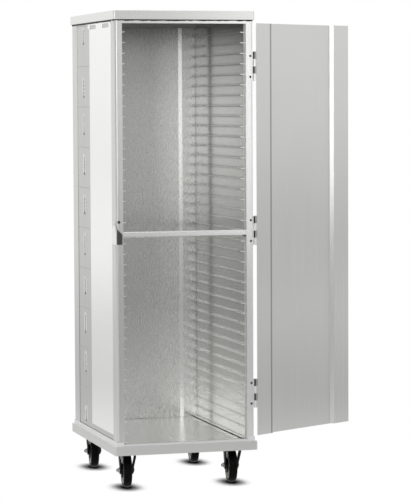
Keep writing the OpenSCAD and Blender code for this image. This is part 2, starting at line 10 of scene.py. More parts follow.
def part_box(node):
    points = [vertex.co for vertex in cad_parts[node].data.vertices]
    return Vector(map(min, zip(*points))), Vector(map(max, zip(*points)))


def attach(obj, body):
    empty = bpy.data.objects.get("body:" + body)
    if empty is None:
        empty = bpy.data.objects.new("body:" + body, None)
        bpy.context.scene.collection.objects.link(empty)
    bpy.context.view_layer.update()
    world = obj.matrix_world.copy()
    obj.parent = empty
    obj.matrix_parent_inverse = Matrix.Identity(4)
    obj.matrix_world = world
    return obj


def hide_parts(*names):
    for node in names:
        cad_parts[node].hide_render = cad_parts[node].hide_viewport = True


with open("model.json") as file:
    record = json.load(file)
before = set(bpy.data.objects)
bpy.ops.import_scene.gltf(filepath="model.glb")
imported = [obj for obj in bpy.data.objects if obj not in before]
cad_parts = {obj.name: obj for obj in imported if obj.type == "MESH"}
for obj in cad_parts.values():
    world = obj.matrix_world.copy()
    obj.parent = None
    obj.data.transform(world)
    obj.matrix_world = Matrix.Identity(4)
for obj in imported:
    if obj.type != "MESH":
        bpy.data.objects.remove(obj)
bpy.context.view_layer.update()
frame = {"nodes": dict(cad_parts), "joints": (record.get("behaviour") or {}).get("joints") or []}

bl_info = {
    "name": "Enclosed Tray Cart Dress",
    "version": (1, 0, 0),
    "blender": (4, 5, 0),
    "location": "View3D > Sidebar > Tray Cart",
    "description": "Finishes, wheels, weld beads and small hardware for an enclosed aluminium tray cart",
    "category": "Object",
}

NODES = frame["nodes"]
CASTERS = ("front_left", "front_right", "rear_left", "rear_right")
HINGES = (1, 2, 3)
MM = 0.001
WHITE = (1.0, 1.0, 1.0, 1.0)
FORWARD = Vector((0, -1, 0))
DOWN = Vector((0, 0, -1))

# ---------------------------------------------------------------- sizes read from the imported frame


def low(node):
    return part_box(node)[0]


def high(node):
    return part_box(node)[1]


def joint_named(name):
    return next(joint for joint in frame["joints"] if joint["name"] == name)


HALF_W = high("post_front_right").x
HALF_D = -low("post_front_right").y
POST_INNER = low("post_front_right").x
BASE_TOP = low("post_front_left").z
CAP_RIM = low("cap").z
SKIN_X = high("plank_right_1").x

# ---------------------------------------------------------------- sizes read from the photograph

# the upright seam in a side wall, behind the front of the posts, and half the width of its stitch welds
SEAM_Y = 490 * MM
STITCH_HALF = 14 * MM
# foot and top of each stitch weld, as heights in mm
STITCHES = ((203, 253), (391, 462), (541, 611), (688, 747), (838, 911), (992, 1059), (1142, 1211),
            (1293, 1364), (1433, 1501), (1633, 1690))
# upright corner welds on a side: distance behind the front of the posts, foot and top, in mm
CORNER_WELDS = ((24, 1626, 1700), (624, 1628, 1704), (23, 186, 260), (645, 186, 211))
# from the hinge axis to the near bend of the door's pressed middle, where a dark line is painted
DOOR_CREASE = 83 * MM
# the ledges start this far behind the posts' front
LEDGE_FRONT = 20 * MM
# from the middle of a hinge to its upper and lower screws
SCREW_RISE = 38 * MM
# how much rougher the outer skin of a side wall is than its inner web
OUTER_ROUGHER = 0.18
# painted light and shade on the inner faces: how bright they are by height in metres, over INNER_LIGHT_GAIN,
# darker toward the top, and the height of the ramp
INNER_LIGHT_GAIN = 1.45
HEIGHT_REACH = 1.8
INNER_SHADE_TONES = ((0.0, 1.0), (0.35, 0.93), (0.62, 0.78), (0.9, 0.74), (1.40, 0.62), (1.60, 0.48), (1.70, 0.34))

# ---------------------------------------------------------------- settings a user would change


def colour_setting(name, use, code):
    """A colour that a user would change, as an sRGB hex code"""
    return bpy.props.StringProperty(name=name, description="sRGB hex colour of " + use, default=code)


class CartFinishSettings(bpy.types.PropertyGroup):
    """Colours of the cart's metals, rubber and plastics"""

    extrusion_colour: colour_setting("Extrusion", "the as-extruded aluminium", "#D9D9D7")
    rail_colour: colour_setting("Rails", "the base frame", "#D8D8D6")
    cap_colour: colour_setting("Cap", "the cap", "#E8E8E6")
    back_colour: colour_setting("Back", "the back panel", "#BCBCBA")
    ledge_colour: colour_setting("Ledges", "the side walls' planks and ledges", "#CCCCCA")
    sheet_colour: colour_setting("Sheet", "the door's rolled sheet", "#ECECEA")
    # also the paler, lit copies of the hinge post, the front header and the brace
    cover_colour: colour_setting("Cover", "the bright sheets and extrusions", "#F5F5F4")
    # the rear header's darker grey is painted shade
    shaded_colour: colour_setting("Rear header", "the dull rear header", "#8A8A88")
    # the keeper's brighter steel is a painted highlight
    keeper_colour: colour_setting("Keeper", "the polished keeper", "#F2F2F0")
    steel_colour: colour_setting("Steel", "the hinge and latch steel", "#B4B3AF")
    zinc_colour: colour_setting("Zinc", "the plated bolts", "#BDBDB8")
    oxide_colour: colour_setting("Black oxide", "the hinge screws", "#080808")
    black_colour: colour_setting("Black coat", "the coated caster steel", "#0D0D0D")
    nylon_colour: colour_setting("Nylon", "the bumpers and hinge bearings", "#0E0E0E")
    pad_colour: colour_setting("Pad", "the strike pad's rubber", "#484846")
    tyre_colour: colour_setting("Tyre", "the rubber tread", "#121212")
    core_colour: colour_setting("Wheel core", "the moulded wheel core", "#D2D2CB")
    bead_colour: colour_setting("Weld", "the weld metal", "#F6F6F3")
    burnt_colour: colour_setting("Heat mark", "the metal greyed by a weld's heat", "#3E3E3C")
    brushed_colour: colour_setting("Brushed patch", "the brushed metal round a weld", "#A6A6A4")
    # the sealant's black also stands in for the shadow line under the cap's rim
    sealant_colour: colour_setting("Sealant", "the sealant under the cap", "#0C0C0C")


class CartHardwareSettings(bpy.types.PropertyGroup):
    """Sizes of the small hardware that is added to the cart"""

    bead_width: bpy.props.FloatProperty(
        name="Bead width", description="Width of a weld bead across the seam",
        default=7.0 * MM, min=3.0 * MM, max=12.0 * MM, unit="LENGTH")
    bead_height: bpy.props.FloatProperty(
        name="Bead height", description="Height of a weld bead over the metal",
        default=1.5 * MM, min=0.5 * MM, max=3.0 * MM, unit="LENGTH")
    bead_ripple: bpy.props.FloatProperty(
        name="Bead ripple", description="Distance from one ripple of a weld to the next",
        default=5.0 * MM, min=2.0 * MM, max=12.0 * MM, unit="LENGTH")
    screw_radius: bpy.props.FloatProperty(
        name="Screw head radius", description="Radius of the hinge screws' heads",
        default=4.3 * MM, min=2.0 * MM, max=6.0 * MM, unit="LENGTH")
    bumper_radius: bpy.props.FloatProperty(
        name="Bumper radius", description="Radius of the round bumpers",
        default=5.2 * MM, min=3.0 * MM, max=6.0 * MM, unit="LENGTH")
    rib_count: bpy.props.IntProperty(
        name="Wheel ribs", description="Ribs on each side of a wheel's core", default=8, min=3, max=16)


class CartStudioSettings(bpy.types.PropertyGroup):
    """Light, floor and camera"""

    camera_place: bpy.props.FloatVectorProperty(
        name="Camera place", description="Where the camera stands", size=3, unit="LENGTH",
        default=(-2.34156, -8.64678, 1.42221))
    camera_yaw: bpy.props.FloatProperty(
        name="Camera yaw", description="Turn of the view to the right of +Y",
        default=math.radians(16.21), unit="ROTATION")
    camera_pitch: bpy.props.FloatProperty(
        name="Camera pitch", description="How far the camera looks down",
        default=math.radians(3.62), unit="ROTATION")
    camera_roll: bpy.props.FloatProperty(
        name="Camera roll", description="Roll of the camera", default=math.radians(-0.28), unit="ROTATION")
    camera_lens: bpy.props.FloatProperty(
        name="Lens", description="Focal length in millimetres on a 36 mm high frame", default=171.62)
    world_strength: bpy.props.FloatProperty(
        name="World strength", description="Strength of the soft light from all round", default=0.62, min=0.0)
    box_glow: bpy.props.FloatProperty(
        name="Soft box glow", description="Brightness of the soft boxes' faces, where 1 is white",
        default=1.0, min=0.0)


# ---------------------------------------------------------------- node and material helpers


def linear(code):
    """An sRGB hex colour as linear red, green, blue and alpha"""
    parts = [int(code.lstrip("#")[i:i + 2], 16) / 255 for i in (0, 2, 4)]
    return tuple(c / 12.92 if c <= 0.04045 else ((c + 0.055) / 1.055) ** 2.4 for c in parts) + (1.0,)


def times(colour, share):
    """A linear colour made darker or lighter, white at most"""
    return tuple(min(1.0, c * share) for c in colour[:3]) + (1.0,)


def add_node(tree, kind, settings=None, links=None):
    """Adds a node: settings are attributes or input values, links are input name to output socket"""
    node = tree.nodes.new(kind)
    for key, value in (settings or {}).items():
        if isinstance(key, int) or key in node.inputs:
            node.inputs[key].default_value = value
        else:
            setattr(node, key, value)
    for key, socket in (links or {}).items():
        tree.links.new(socket, node.inputs[key])
    return node


def new_material(name):
    """A material with only its Principled shader and output"""
    material = bpy.data.materials.new(name)
    material.use_nodes = True
    tree = material.node_tree
    tree.nodes.clear()
    shader = add_node(tree, "ShaderNodeBsdfPrincipled")
    add_node(tree, "ShaderNodeOutputMaterial", links={"Surface": shader.outputs["BSDF"]})
    return material, tree, shader


def shade_range(tree, factor, colour, dark, light):
    """Drives a base colour between a darker and a lighter shade of it by a 0 to 1 factor"""
    base = linear(colour)
    return add_node(tree, "ShaderNodeMix", {
        "data_type": "RGBA", 6: times(base, dark), 7: times(base, light)}, {0: factor}).outputs[2]


def grey_ramp(tree, value, reach, stops):
    """A grey that follows stops of a distance and a brightness"""
    share = add_node(tree, "ShaderNodeMath", {"operation": "DIVIDE", 1: reach}, {0: value})
    node = add_node(tree, "ShaderNodeValToRGB", links={0: share.outputs[0]})
    marks = node.color_ramp.elements
    while len(marks) < len(stops):
        marks.new(0.5)
    for mark, (distance, grey) in zip(marks, stops):
        mark.position = distance / reach
        mark.color = (grey, grey, grey, 1)
    return node.outputs[0]


def by_ray(tree, scattered, mirrored, seen):
    """One shader that lights the scene, one that the metal reflects and one that the camera sees"""
    path = add_node(tree, "ShaderNodeLightPath")
    direct = add_node(tree, "ShaderNodeMath", {"operation": "ADD", "use_clamp": True},
                      {0: path.outputs["Is Camera Ray"], 1: path.outputs["Is Transmission Ray"]})
    blend = add_node(tree, "ShaderNodeMixShader", links={
        0: path.outputs["Is Glossy Ray"], 1: scattered.outputs[0], 2: mirrored.outputs[0]})
    return add_node(tree, "ShaderNodeMixShader", links={
        0: direct.outputs[0], 1: blend.outputs[0], 2: seen.outputs[0]}).outputs[0]


def shaded_by_height(tree, place, tone):
    """The tone of an inner face with painted shade, which falls toward the top of the cabinet, and painted
    light from a gain
    """
    height = add_node(tree, "ShaderNodeSeparateXYZ", links={0: place})
    share = grey_ramp(tree, height.outputs["Z"], HEIGHT_REACH, INNER_SHADE_TONES)
    tone = add_node(tree, "ShaderNodeVectorMath", {"operation": "MULTIPLY"}, {0: tone, 1: share})
    return add_node(tree, "ShaderNodeVectorMath", {"operation": "SCALE", "Scale": INNER_LIGHT_GAIN},
                    {0: tone.outputs[0]}).outputs[0]


def outer_skin(tree, place):
    """1 on the outer skin of a side wall and 0 on its inner web"""
    across = add_node(tree, "ShaderNodeSeparateXYZ", links={0: place})
    width = add_node(tree, "ShaderNodeMath", {"operation": "ABSOLUTE"}, {0: across.outputs["X"]})
    return add_node(tree, "ShaderNodeMapRange", {
        "From Min": SKIN_X - 4 * MM, "From Max": SKIN_X - 2 * MM}, {"Value": width.outputs[0]}).outputs[0]


def shaded_corners(tree, tone, corner_shade):
    """A tone that is darker by a share in inner corners: painted shade where the corners are occluded"""
    corner = add_node(tree, "ShaderNodeAmbientOcclusion", {"samples": 8, "Distance": 14 * MM})
    clean = add_node(tree, "ShaderNodeMapRange", {
        "interpolation_type": "SMOOTHSTEP", "From Min": 0.25, "From Max": 0.9, "To Min": 1.0 - corner_shade,
        "To Max": 1.0}, {"Value": corner.outputs["AO"]})
    return add_node(tree, "ShaderNodeVectorMath", {"operation": "SCALE"},
                    {0: tone, "Scale": clean.outputs[0]}).outputs[0]


def shaded_bend(tree, place, tone, door):
    """The door's tone, dark along the near bend of its pressed middle: a painted dark reflection of the bend;
    door is the door's matrix
    """
    turned = add_node(tree, "ShaderNodeMapping", {
        "vector_type": "TEXTURE", "Location": door.translation, "Rotation": door.to_euler()},
        {"Vector": place})
    along = add_node(tree, "ShaderNodeSeparateXYZ", links={0: turned.outputs[0]})
    away = add_node(tree, "ShaderNodeMath", {"operation": "ADD", 1: DOOR_CREASE}, {0: along.outputs["X"]})
    away = add_node(tree, "ShaderNodeMath", {"operation": "ABSOLUTE"}, {0: away.outputs[0]})
    clear = add_node(tree, "ShaderNodeMapRange", {
        "From Min": 0.5 * MM, "From Max": 6 * MM, "To Min": 0.45, "To Max": 1.0}, {"Value": away.outputs[0]})
    return add_node(tree, "ShaderNodeVectorMath", {"operation": "SCALE"},
                    {0: tone, "Scale": clear.outputs[0]}).outputs[0]


def over_height(tree, place, height):
    """1 over a height and 0 under it"""
    parts = add_node(tree, "ShaderNodeSeparateXYZ", links={0: place})
    return add_node(tree, "ShaderNodeMapRange", {
        "From Min": height - MM, "From Max": height + MM}, {"Value": parts.outputs["Z"]}).outputs[0]


def front_highlight_mask(tree, place):
    """1 on the ends that face the front and on the ledges' very front, and 0 elsewhere: where a highlight is
    painted
    """
    facing = add_node(tree, "ShaderNodeTexCoord").outputs["Normal"]
    facing = add_node(tree, "ShaderNodeSeparateXYZ", links={0: facing})
    end = add_node(tree, "ShaderNodeMath", {"operation": "LESS_THAN", 1: -0.9}, {0: facing.outputs["Y"]})
    along = add_node(tree, "ShaderNodeSeparateXYZ", links={0: place})
    tip = add_node(tree, "ShaderNodeMath", {"operation": "LESS_THAN", 1: LEDGE_FRONT - HALF_D},
                   {0: along.outputs["Y"]})
    return add_node(tree, "ShaderNodeMath", {"operation": "MAXIMUM"},
                    {0: end.outputs[0], 1: tip.outputs[0]}).outputs[0]


def painted_highlight(tree, shader, tone, share, matte, gleam):
    """Paints a highlight: turns a tone white by a 0 to 1 share, and the metallic value from 1 - matte to
    gleam
    """
    metallic = add_node(tree, "ShaderNodeMapRange", {"To Min": 1.0 - matte, "To Max": gleam},
                        {"Value": share})
    tree.links.new(metallic.outputs[0], shader.inputs["Metallic"])
    return add_node(tree, "ShaderNodeMix", {"data_type": "RGBA", 7: WHITE}, {0: share, 6: tone}).outputs[2]


def metal(name, colour, rough, grain, grain_depth, blotch=0.02, rough_range=0.04, edge=0.6, aniso=0.0,
          outer_tone=1.0, matte=0.0, height_shade=False, corner_shade=0.0, door=None, highlight_above=None, front_highlight=False):
    """Worked metal with drawn or rolled grain.

    grain is the pattern's scale per metre along X, Y and Z, so the axis with the smallest number is the
    way the metal was drawn, and grain_depth its depth in mm. blotch and rough_range are how much the tone
    and the roughness vary. edge is the radius in mm that rounds edges in the light. aniso spreads the gloss
    across an upright grain, and matte is the share that scatters like paint. outer_tone darkens the outer
    skin of a side wall. height_shade paints light and shade on an inner face by height, darker toward the
    top, and corner_shade paints shade into the corners. door is the matrix of a door whose near bend gets
    a painted dark line. highlight_above is a height over which a painted highlight turns the metal white,
    and front_highlight paints a highlight that whitens the ends at the front.
    """
    material, tree, shader = new_material(name)
    place = add_node(tree, "ShaderNodeTexCoord").outputs["Object"]
    stretched = add_node(tree, "ShaderNodeMapping", {"Scale": grain}, {"Vector": place})
    streaks = add_node(tree, "ShaderNodeTexNoise", {"Scale": 1.0, "Detail": 4.0, "Roughness": 0.6},
                       {"Vector": stretched.outputs[0]}).outputs["Fac"]
    clouds = add_node(tree, "ShaderNodeTexNoise", {"Scale": 5.0, "Detail": 2.0}, {"Vector": place})
    mixed = add_node(tree, "ShaderNodeMix", {"data_type": "FLOAT", 0: 0.45},
                     {2: streaks, 3: clouds.outputs["Fac"]})
    spread = add_node(tree, "ShaderNodeMapRange", {"From Min": 0.3, "From Max": 0.7},
                      {"Value": mixed.outputs[0]})
    tone = shade_range(tree, spread.outputs[0], colour, 1 - blotch, 1 + blotch)
    roughness = add_node(tree, "ShaderNodeMapRange", {
        "From Min": 0.3, "From Max": 0.7, "To Min": rough - rough_range, "To Max": rough + rough_range,
    }, {"Value": streaks})
    shader.inputs["Metallic"].default_value = 1.0 - matte
    # painted light and shade by height on an inner face
    if height_shade:
        tone = shaded_by_height(tree, place, tone)
    if outer_tone < 1.0:
        outside = outer_skin(tree, place)
        tone = add_node(tree, "ShaderNodeMix", {"data_type": "RGBA", 7: times(linear(colour), outer_tone)},
                        {0: outside, 6: tone}).outputs[2]
        roughness = add_node(tree, "ShaderNodeMath", {"operation": "MULTIPLY_ADD", 1: OUTER_ROUGHER},
                             {0: outside, 2: roughness.outputs[0]})
    # painted shade in the inner corners
    if corner_shade:
        tone = shaded_corners(tree, tone, corner_shade)
    # a painted dark reflection along the door's bend
    if door:
        tone = shaded_bend(tree, place, tone, door)
    # a painted highlight over a height
    if highlight_above:
        tone = painted_highlight(tree, shader, tone, over_height(tree, place, highlight_above), matte, 0.5)
    # a painted highlight on the ends that face the front
    if front_highlight:
        tone = painted_highlight(tree, shader, tone, front_highlight_mask(tree, place), matte, 0.25)
    tree.links.new(tone, shader.inputs["Base Color"])
    tree.links.new(roughness.outputs[0], shader.inputs["Roughness"])
    rounded = add_node(tree, "ShaderNodeBevel", {"samples": 4, "Radius": edge * MM})
    bump = add_node(tree, "ShaderNodeBump", {"Strength": 0.25, "Distance": grain_depth * MM},
                    {"Height": streaks, "Normal": rounded.outputs[0]})
    tree.links.new(bump.outputs[0], shader.inputs["Normal"])
    if aniso:
        shader.inputs["Anisotropic"].default_value = aniso
        around = add_node(tree, "ShaderNodeTangent", {"direction_type": "RADIAL", "axis": "Z"})
        tree.links.new(around.outputs[0], shader.inputs["Tangent"])
    return material


def moulded(name, colour, rough, speck=900.0, shine=0.5):
    """Moulded or coated surface with a fine orange peel, speck per metre and 0.05 mm deep"""
    material, tree, shader = new_material(name)
    place = add_node(tree, "ShaderNodeTexCoord").outputs["Object"]
    peel = add_node(tree, "ShaderNodeTexNoise", {"Scale": speck, "Detail": 3.0}, {"Vector": place})
    clouds = add_node(tree, "ShaderNodeTexNoise", {"Scale": 40.0, "Detail": 3.0}, {"Vector": place})
    tone = shade_range(tree, clouds.outputs["Fac"], colour, 0.75, 1.25)
    tree.links.new(tone, shader.inputs["Base Color"])
    roughness = add_node(tree, "ShaderNodeMapRange", {"To Min": rough - 0.08, "To Max": rough + 0.08},
                         {"Value": clouds.outputs["Fac"]})
    tree.links.new(roughness.outputs[0], shader.inputs["Roughness"])
    bump = add_node(tree, "ShaderNodeBump", {"Strength": 0.3, "Distance": 0.05 * MM},
                    {"Height": peel.outputs["Fac"]})
    tree.links.new(bump.outputs[0], shader.inputs["Normal"])
    shader.inputs["Specular IOR Level"].default_value = shine
    return material


def material_named(name):
    return bpy.data.materials[name]


# ---------------------------------------------------------------- mesh helpers


def mesh_object(name, build, material=None, smooth=False):
    """A mesh object at the origin, filled by build(bm)"""
    bm = bmesh.new()
    build(bm)
    mesh = bpy.data.meshes.new(name)
    bm.to_mesh(mesh)
    bm.free()
    if smooth:
        mesh.shade_smooth()
    if material:
        mesh.materials.append(material)
    obj = bpy.data.objects.new(name, mesh)
    bpy.context.scene.collection.objects.link(obj)
    return obj


def lathe(bm, profile, place, segments):
    """Revolves a closed profile of radius and height about Z and sets it at place, a matrix"""
    rings = []
    for i in range(segments):
        turn = 2 * math.pi * i / segments
        rings.append([bm.verts.new(place @ Vector((r * math.cos(turn), r * math.sin(turn), h)))
                      for r, h in profile])
    count = len(profile)
    for i in range(segments):
        here, there = rings[i], rings[(i + 1) % segments]
        for j in range(count):
            k = (j + 1) % count
            bm.faces.new((here[j], there[j], there[k], here[k]))


def both_sides(half):
    """A closed profile that is the same above and below, from its upper half"""
    return half + [(r, -h) for r, h in reversed(half) if h]


def solid_of_revolution(name, profiles, place, material, segments, body):
    """One smooth piece made of closed rings in mm, turned about Z, set at place and riding on a body"""
    def build(bm):
        for profile in profiles:
            lathe(bm, [(r * MM, h * MM) for r, h in profile], place, segments)
        bmesh.ops.recalc_face_normals(bm, faces=bm.faces)
    obj = mesh_object(name, build, material)
    obj.data.shade_smooth()
    obj.data.set_sharp_from_angle(angle=math.radians(35))
    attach(obj, body)
    return obj


def head_pattern(name, profile, segments, smooth=True):
    """A pattern for a head: a profile of radius and height, turned about Z"""
    def build(bm):
        lathe(bm, profile, Matrix.Identity(4), segments)
        bmesh.ops.recalc_face_normals(bm, faces=bm.faces)
    obj = mesh_object(name, build)
    if smooth:
        obj.data.shade_smooth()
        obj.data.set_sharp_from_angle(angle=math.radians(40))
    return obj


def plain_mesh(obj, name, body):
    """Turns an object's evaluated nodes into a plain mesh that rides on a body"""
    graph = bpy.context.evaluated_depsgraph_get()
    mesh = bpy.data.meshes.new_from_object(obj.evaluated_get(graph))
    mesh.name = name
    bpy.data.objects.remove(obj)
    result = bpy.data.objects.new(name, mesh)
    bpy.context.scene.collection.objects.link(result)
    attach(result, body)
    return result


def set_inputs(modifier, values):
    """Sets a node modifier's inputs by their names, through the sockets' identifiers"""
    for item in modifier.node_group.interface.items_tree:
        if item.item_type == "SOCKET" and item.in_out == "INPUT" and item.name in values:
            modifier[item.identifier] = values[item.name]


def geometry_tree(name, inputs):
    """An empty node tree with a Geometry input and output and named inputs"""
    tree = bpy.data.node_groups.new(name, "GeometryNodeTree")
    tree.interface.new_socket("Geometry", in_out="INPUT", socket_type="NodeSocketGeometry")
    for label, kind in inputs:
        tree.interface.new_socket(label, in_out="INPUT", socket_type=kind)
    tree.interface.new_socket("Geometry", in_out="OUTPUT", socket_type="NodeSocketGeometry")
    return tree, add_node(tree, "NodeGroupInput"), add_node(tree, "NodeGroupOutput")


def weld_tree():
    """Lays overlapping flat drops of weld metal along every edge of the seam's mesh"""
    tree, given, result = geometry_tree("weld_bead_run", [
        ("Ripple", "NodeSocketFloat"), ("Drop", "NodeSocketVector"), ("Material", "NodeSocketMaterial")])
    curve = add_node(tree, "GeometryNodeMeshToCurve", links={"Mesh": given.outputs["Geometry"]})
    points = add_node(tree, "GeometryNodeCurveToPoints", {"mode": "LENGTH"},
                      {"Curve": curve.outputs[0], "Length": given.outputs["Ripple"]})
    drop = add_node(tree, "GeometryNodeMeshUVSphere", {"Segments": 10, "Rings": 6, "Radius": 1.0})
    jitter = add_node(tree, "FunctionNodeRandomValue", {
        "data_type": "FLOAT_VECTOR", "Seed": 7, 0: (0.8, 0.8, 0.8), 1: (1.15, 1.15, 1.15)})
    size = add_node(tree, "ShaderNodeVectorMath", {"operation": "MULTIPLY"},
                    {0: given.outputs["Drop"], 1: jitter.outputs[0]})
    drops = add_node(tree, "GeometryNodeInstanceOnPoints", links={
        "Points": points.outputs["Points"], "Instance": drop.outputs["Mesh"], "Scale": size.outputs[0]})
    real = add_node(tree, "GeometryNodeRealizeInstances", links={"Geometry": drops.outputs[0]})
    smooth = add_node(tree, "GeometryNodeSetShadeSmooth", links={"Geometry": real.outputs[0]})
    finished = add_node(tree, "GeometryNodeSetMaterial", links={
        "Geometry": smooth.outputs[0], "Material": given.outputs["Material"]})
    tree.links.new(finished.outputs[0], result.inputs[0])
    return tree


def heads_tree():
    """Sets one head, drawn along +Z, on every point of a mesh, facing along the point's own direction"""
    tree, given, result = geometry_tree("heads_on_points", [
        ("Head", "NodeSocketObject"), ("Size", "NodeSocketFloat"), ("Material", "NodeSocketMaterial")])
    head = add_node(tree, "GeometryNodeObjectInfo", links={"Object": given.outputs["Head"]})
    facing = add_node(tree, "GeometryNodeInputNamedAttribute",
                      {"data_type": "FLOAT_VECTOR", "Name": "facing"})
    turned = add_node(tree, "FunctionNodeAlignRotationToVector", {"axis": "Z"},
                      {"Vector": facing.outputs[0]})
    points = add_node(tree, "GeometryNodeMeshToPoints", links={"Mesh": given.outputs["Geometry"]})
    placed = add_node(tree, "GeometryNodeInstanceOnPoints", links={
        "Points": points.outputs[0], "Instance": head.outputs["Geometry"], "Rotation": turned.outputs[0],
        "Scale": given.outputs["Size"]})
    real = add_node(tree, "GeometryNodeRealizeInstances", links={"Geometry": placed.outputs[0]})
    finished = add_node(tree, "GeometryNodeSetMaterial", links={
        "Geometry": real.outputs[0], "Material": given.outputs["Material"]})
    tree.links.new(finished.outputs[0], result.inputs[0])
    return tree


def weld_runs(name, runs, drop, ripple):
    """Weld beads on the cabinet along straight runs, each a pair of points; drop is a drop's half size"""
    def build(bm):
        for start, end in runs:
            bm.edges.new((bm.verts.new(start), bm.verts.new(end)))
    seam = mesh_object(name + "_seam", build)
    modifier = seam.modifiers.new("bead", "NODES")
    modifier.node_group = bpy.data.node_groups.get("weld_bead_run") or weld_tree()
    set_inputs(modifier, {"Ripple": ripple, "Drop": drop, "Material": material_named("weld_metal")})
    return plain_mesh(seam, name, "cabinet")


def heads(name, body, spots, head, size, material):
    """One head on each spot, a pair of a point and the direction it faces"""
    def build(bm):
        for point, _facing in spots:
            bm.verts.new(point)
    seats = mesh_object(name + "_seats", build)
    layer = seats.data.attributes.new("facing", "FLOAT_VECTOR", "POINT")
    for i, (_point, facing) in enumerate(spots):
        layer.data[i].vector = facing
    modifier = seats.modifiers.new("heads", "NODES")
    modifier.node_group = bpy.data.node_groups.get("heads_on_points") or heads_tree()
    set_inputs(modifier, {"Head": head, "Size": size, "Material": material})
    return plain_mesh(seats, name, body)


def paint(names, material):
    """Gives CAD nodes their finish"""
    for name in names:
        mesh = NODES[name].data
        mesh.materials.clear()
        mesh.materials.append(material)


def nodes_with(*starts):
    """The CAD nodes whose names start with one of the given words"""
    return [name for name in NODES if name.startswith(starts)]


def wheel_place(caster):
    """The matrix that puts a wheel, drawn about Z, on its axle, with its Z along the axle to the right"""
    joint = joint_named("spin_" + caster)
    centre, axle = Vector(joint["pos_m"]), Vector(joint["axis"]).normalized()
    return Matrix.Translation(centre) @ axle.to_track_quat("Z", "Y").to_matrix().to_4x4()


def door_place():
    """The door's own frame at rest: the hinge axis at x = 0, y = 0, the sheet along -X, its outside to -Y"""
    hinge = joint_named("door_hinge")["pos_m"]
    inward = Vector(joint_named("latch_pivot")["axis"])
    turn = math.atan2(-inward.x, inward.y)
    return Matrix.Translation((hinge[0], hinge[1], 0)) @ Matrix.Rotation(turn, 4, "Z")


# ---------------------------------------------------------------- finishes on the carried-over nodes


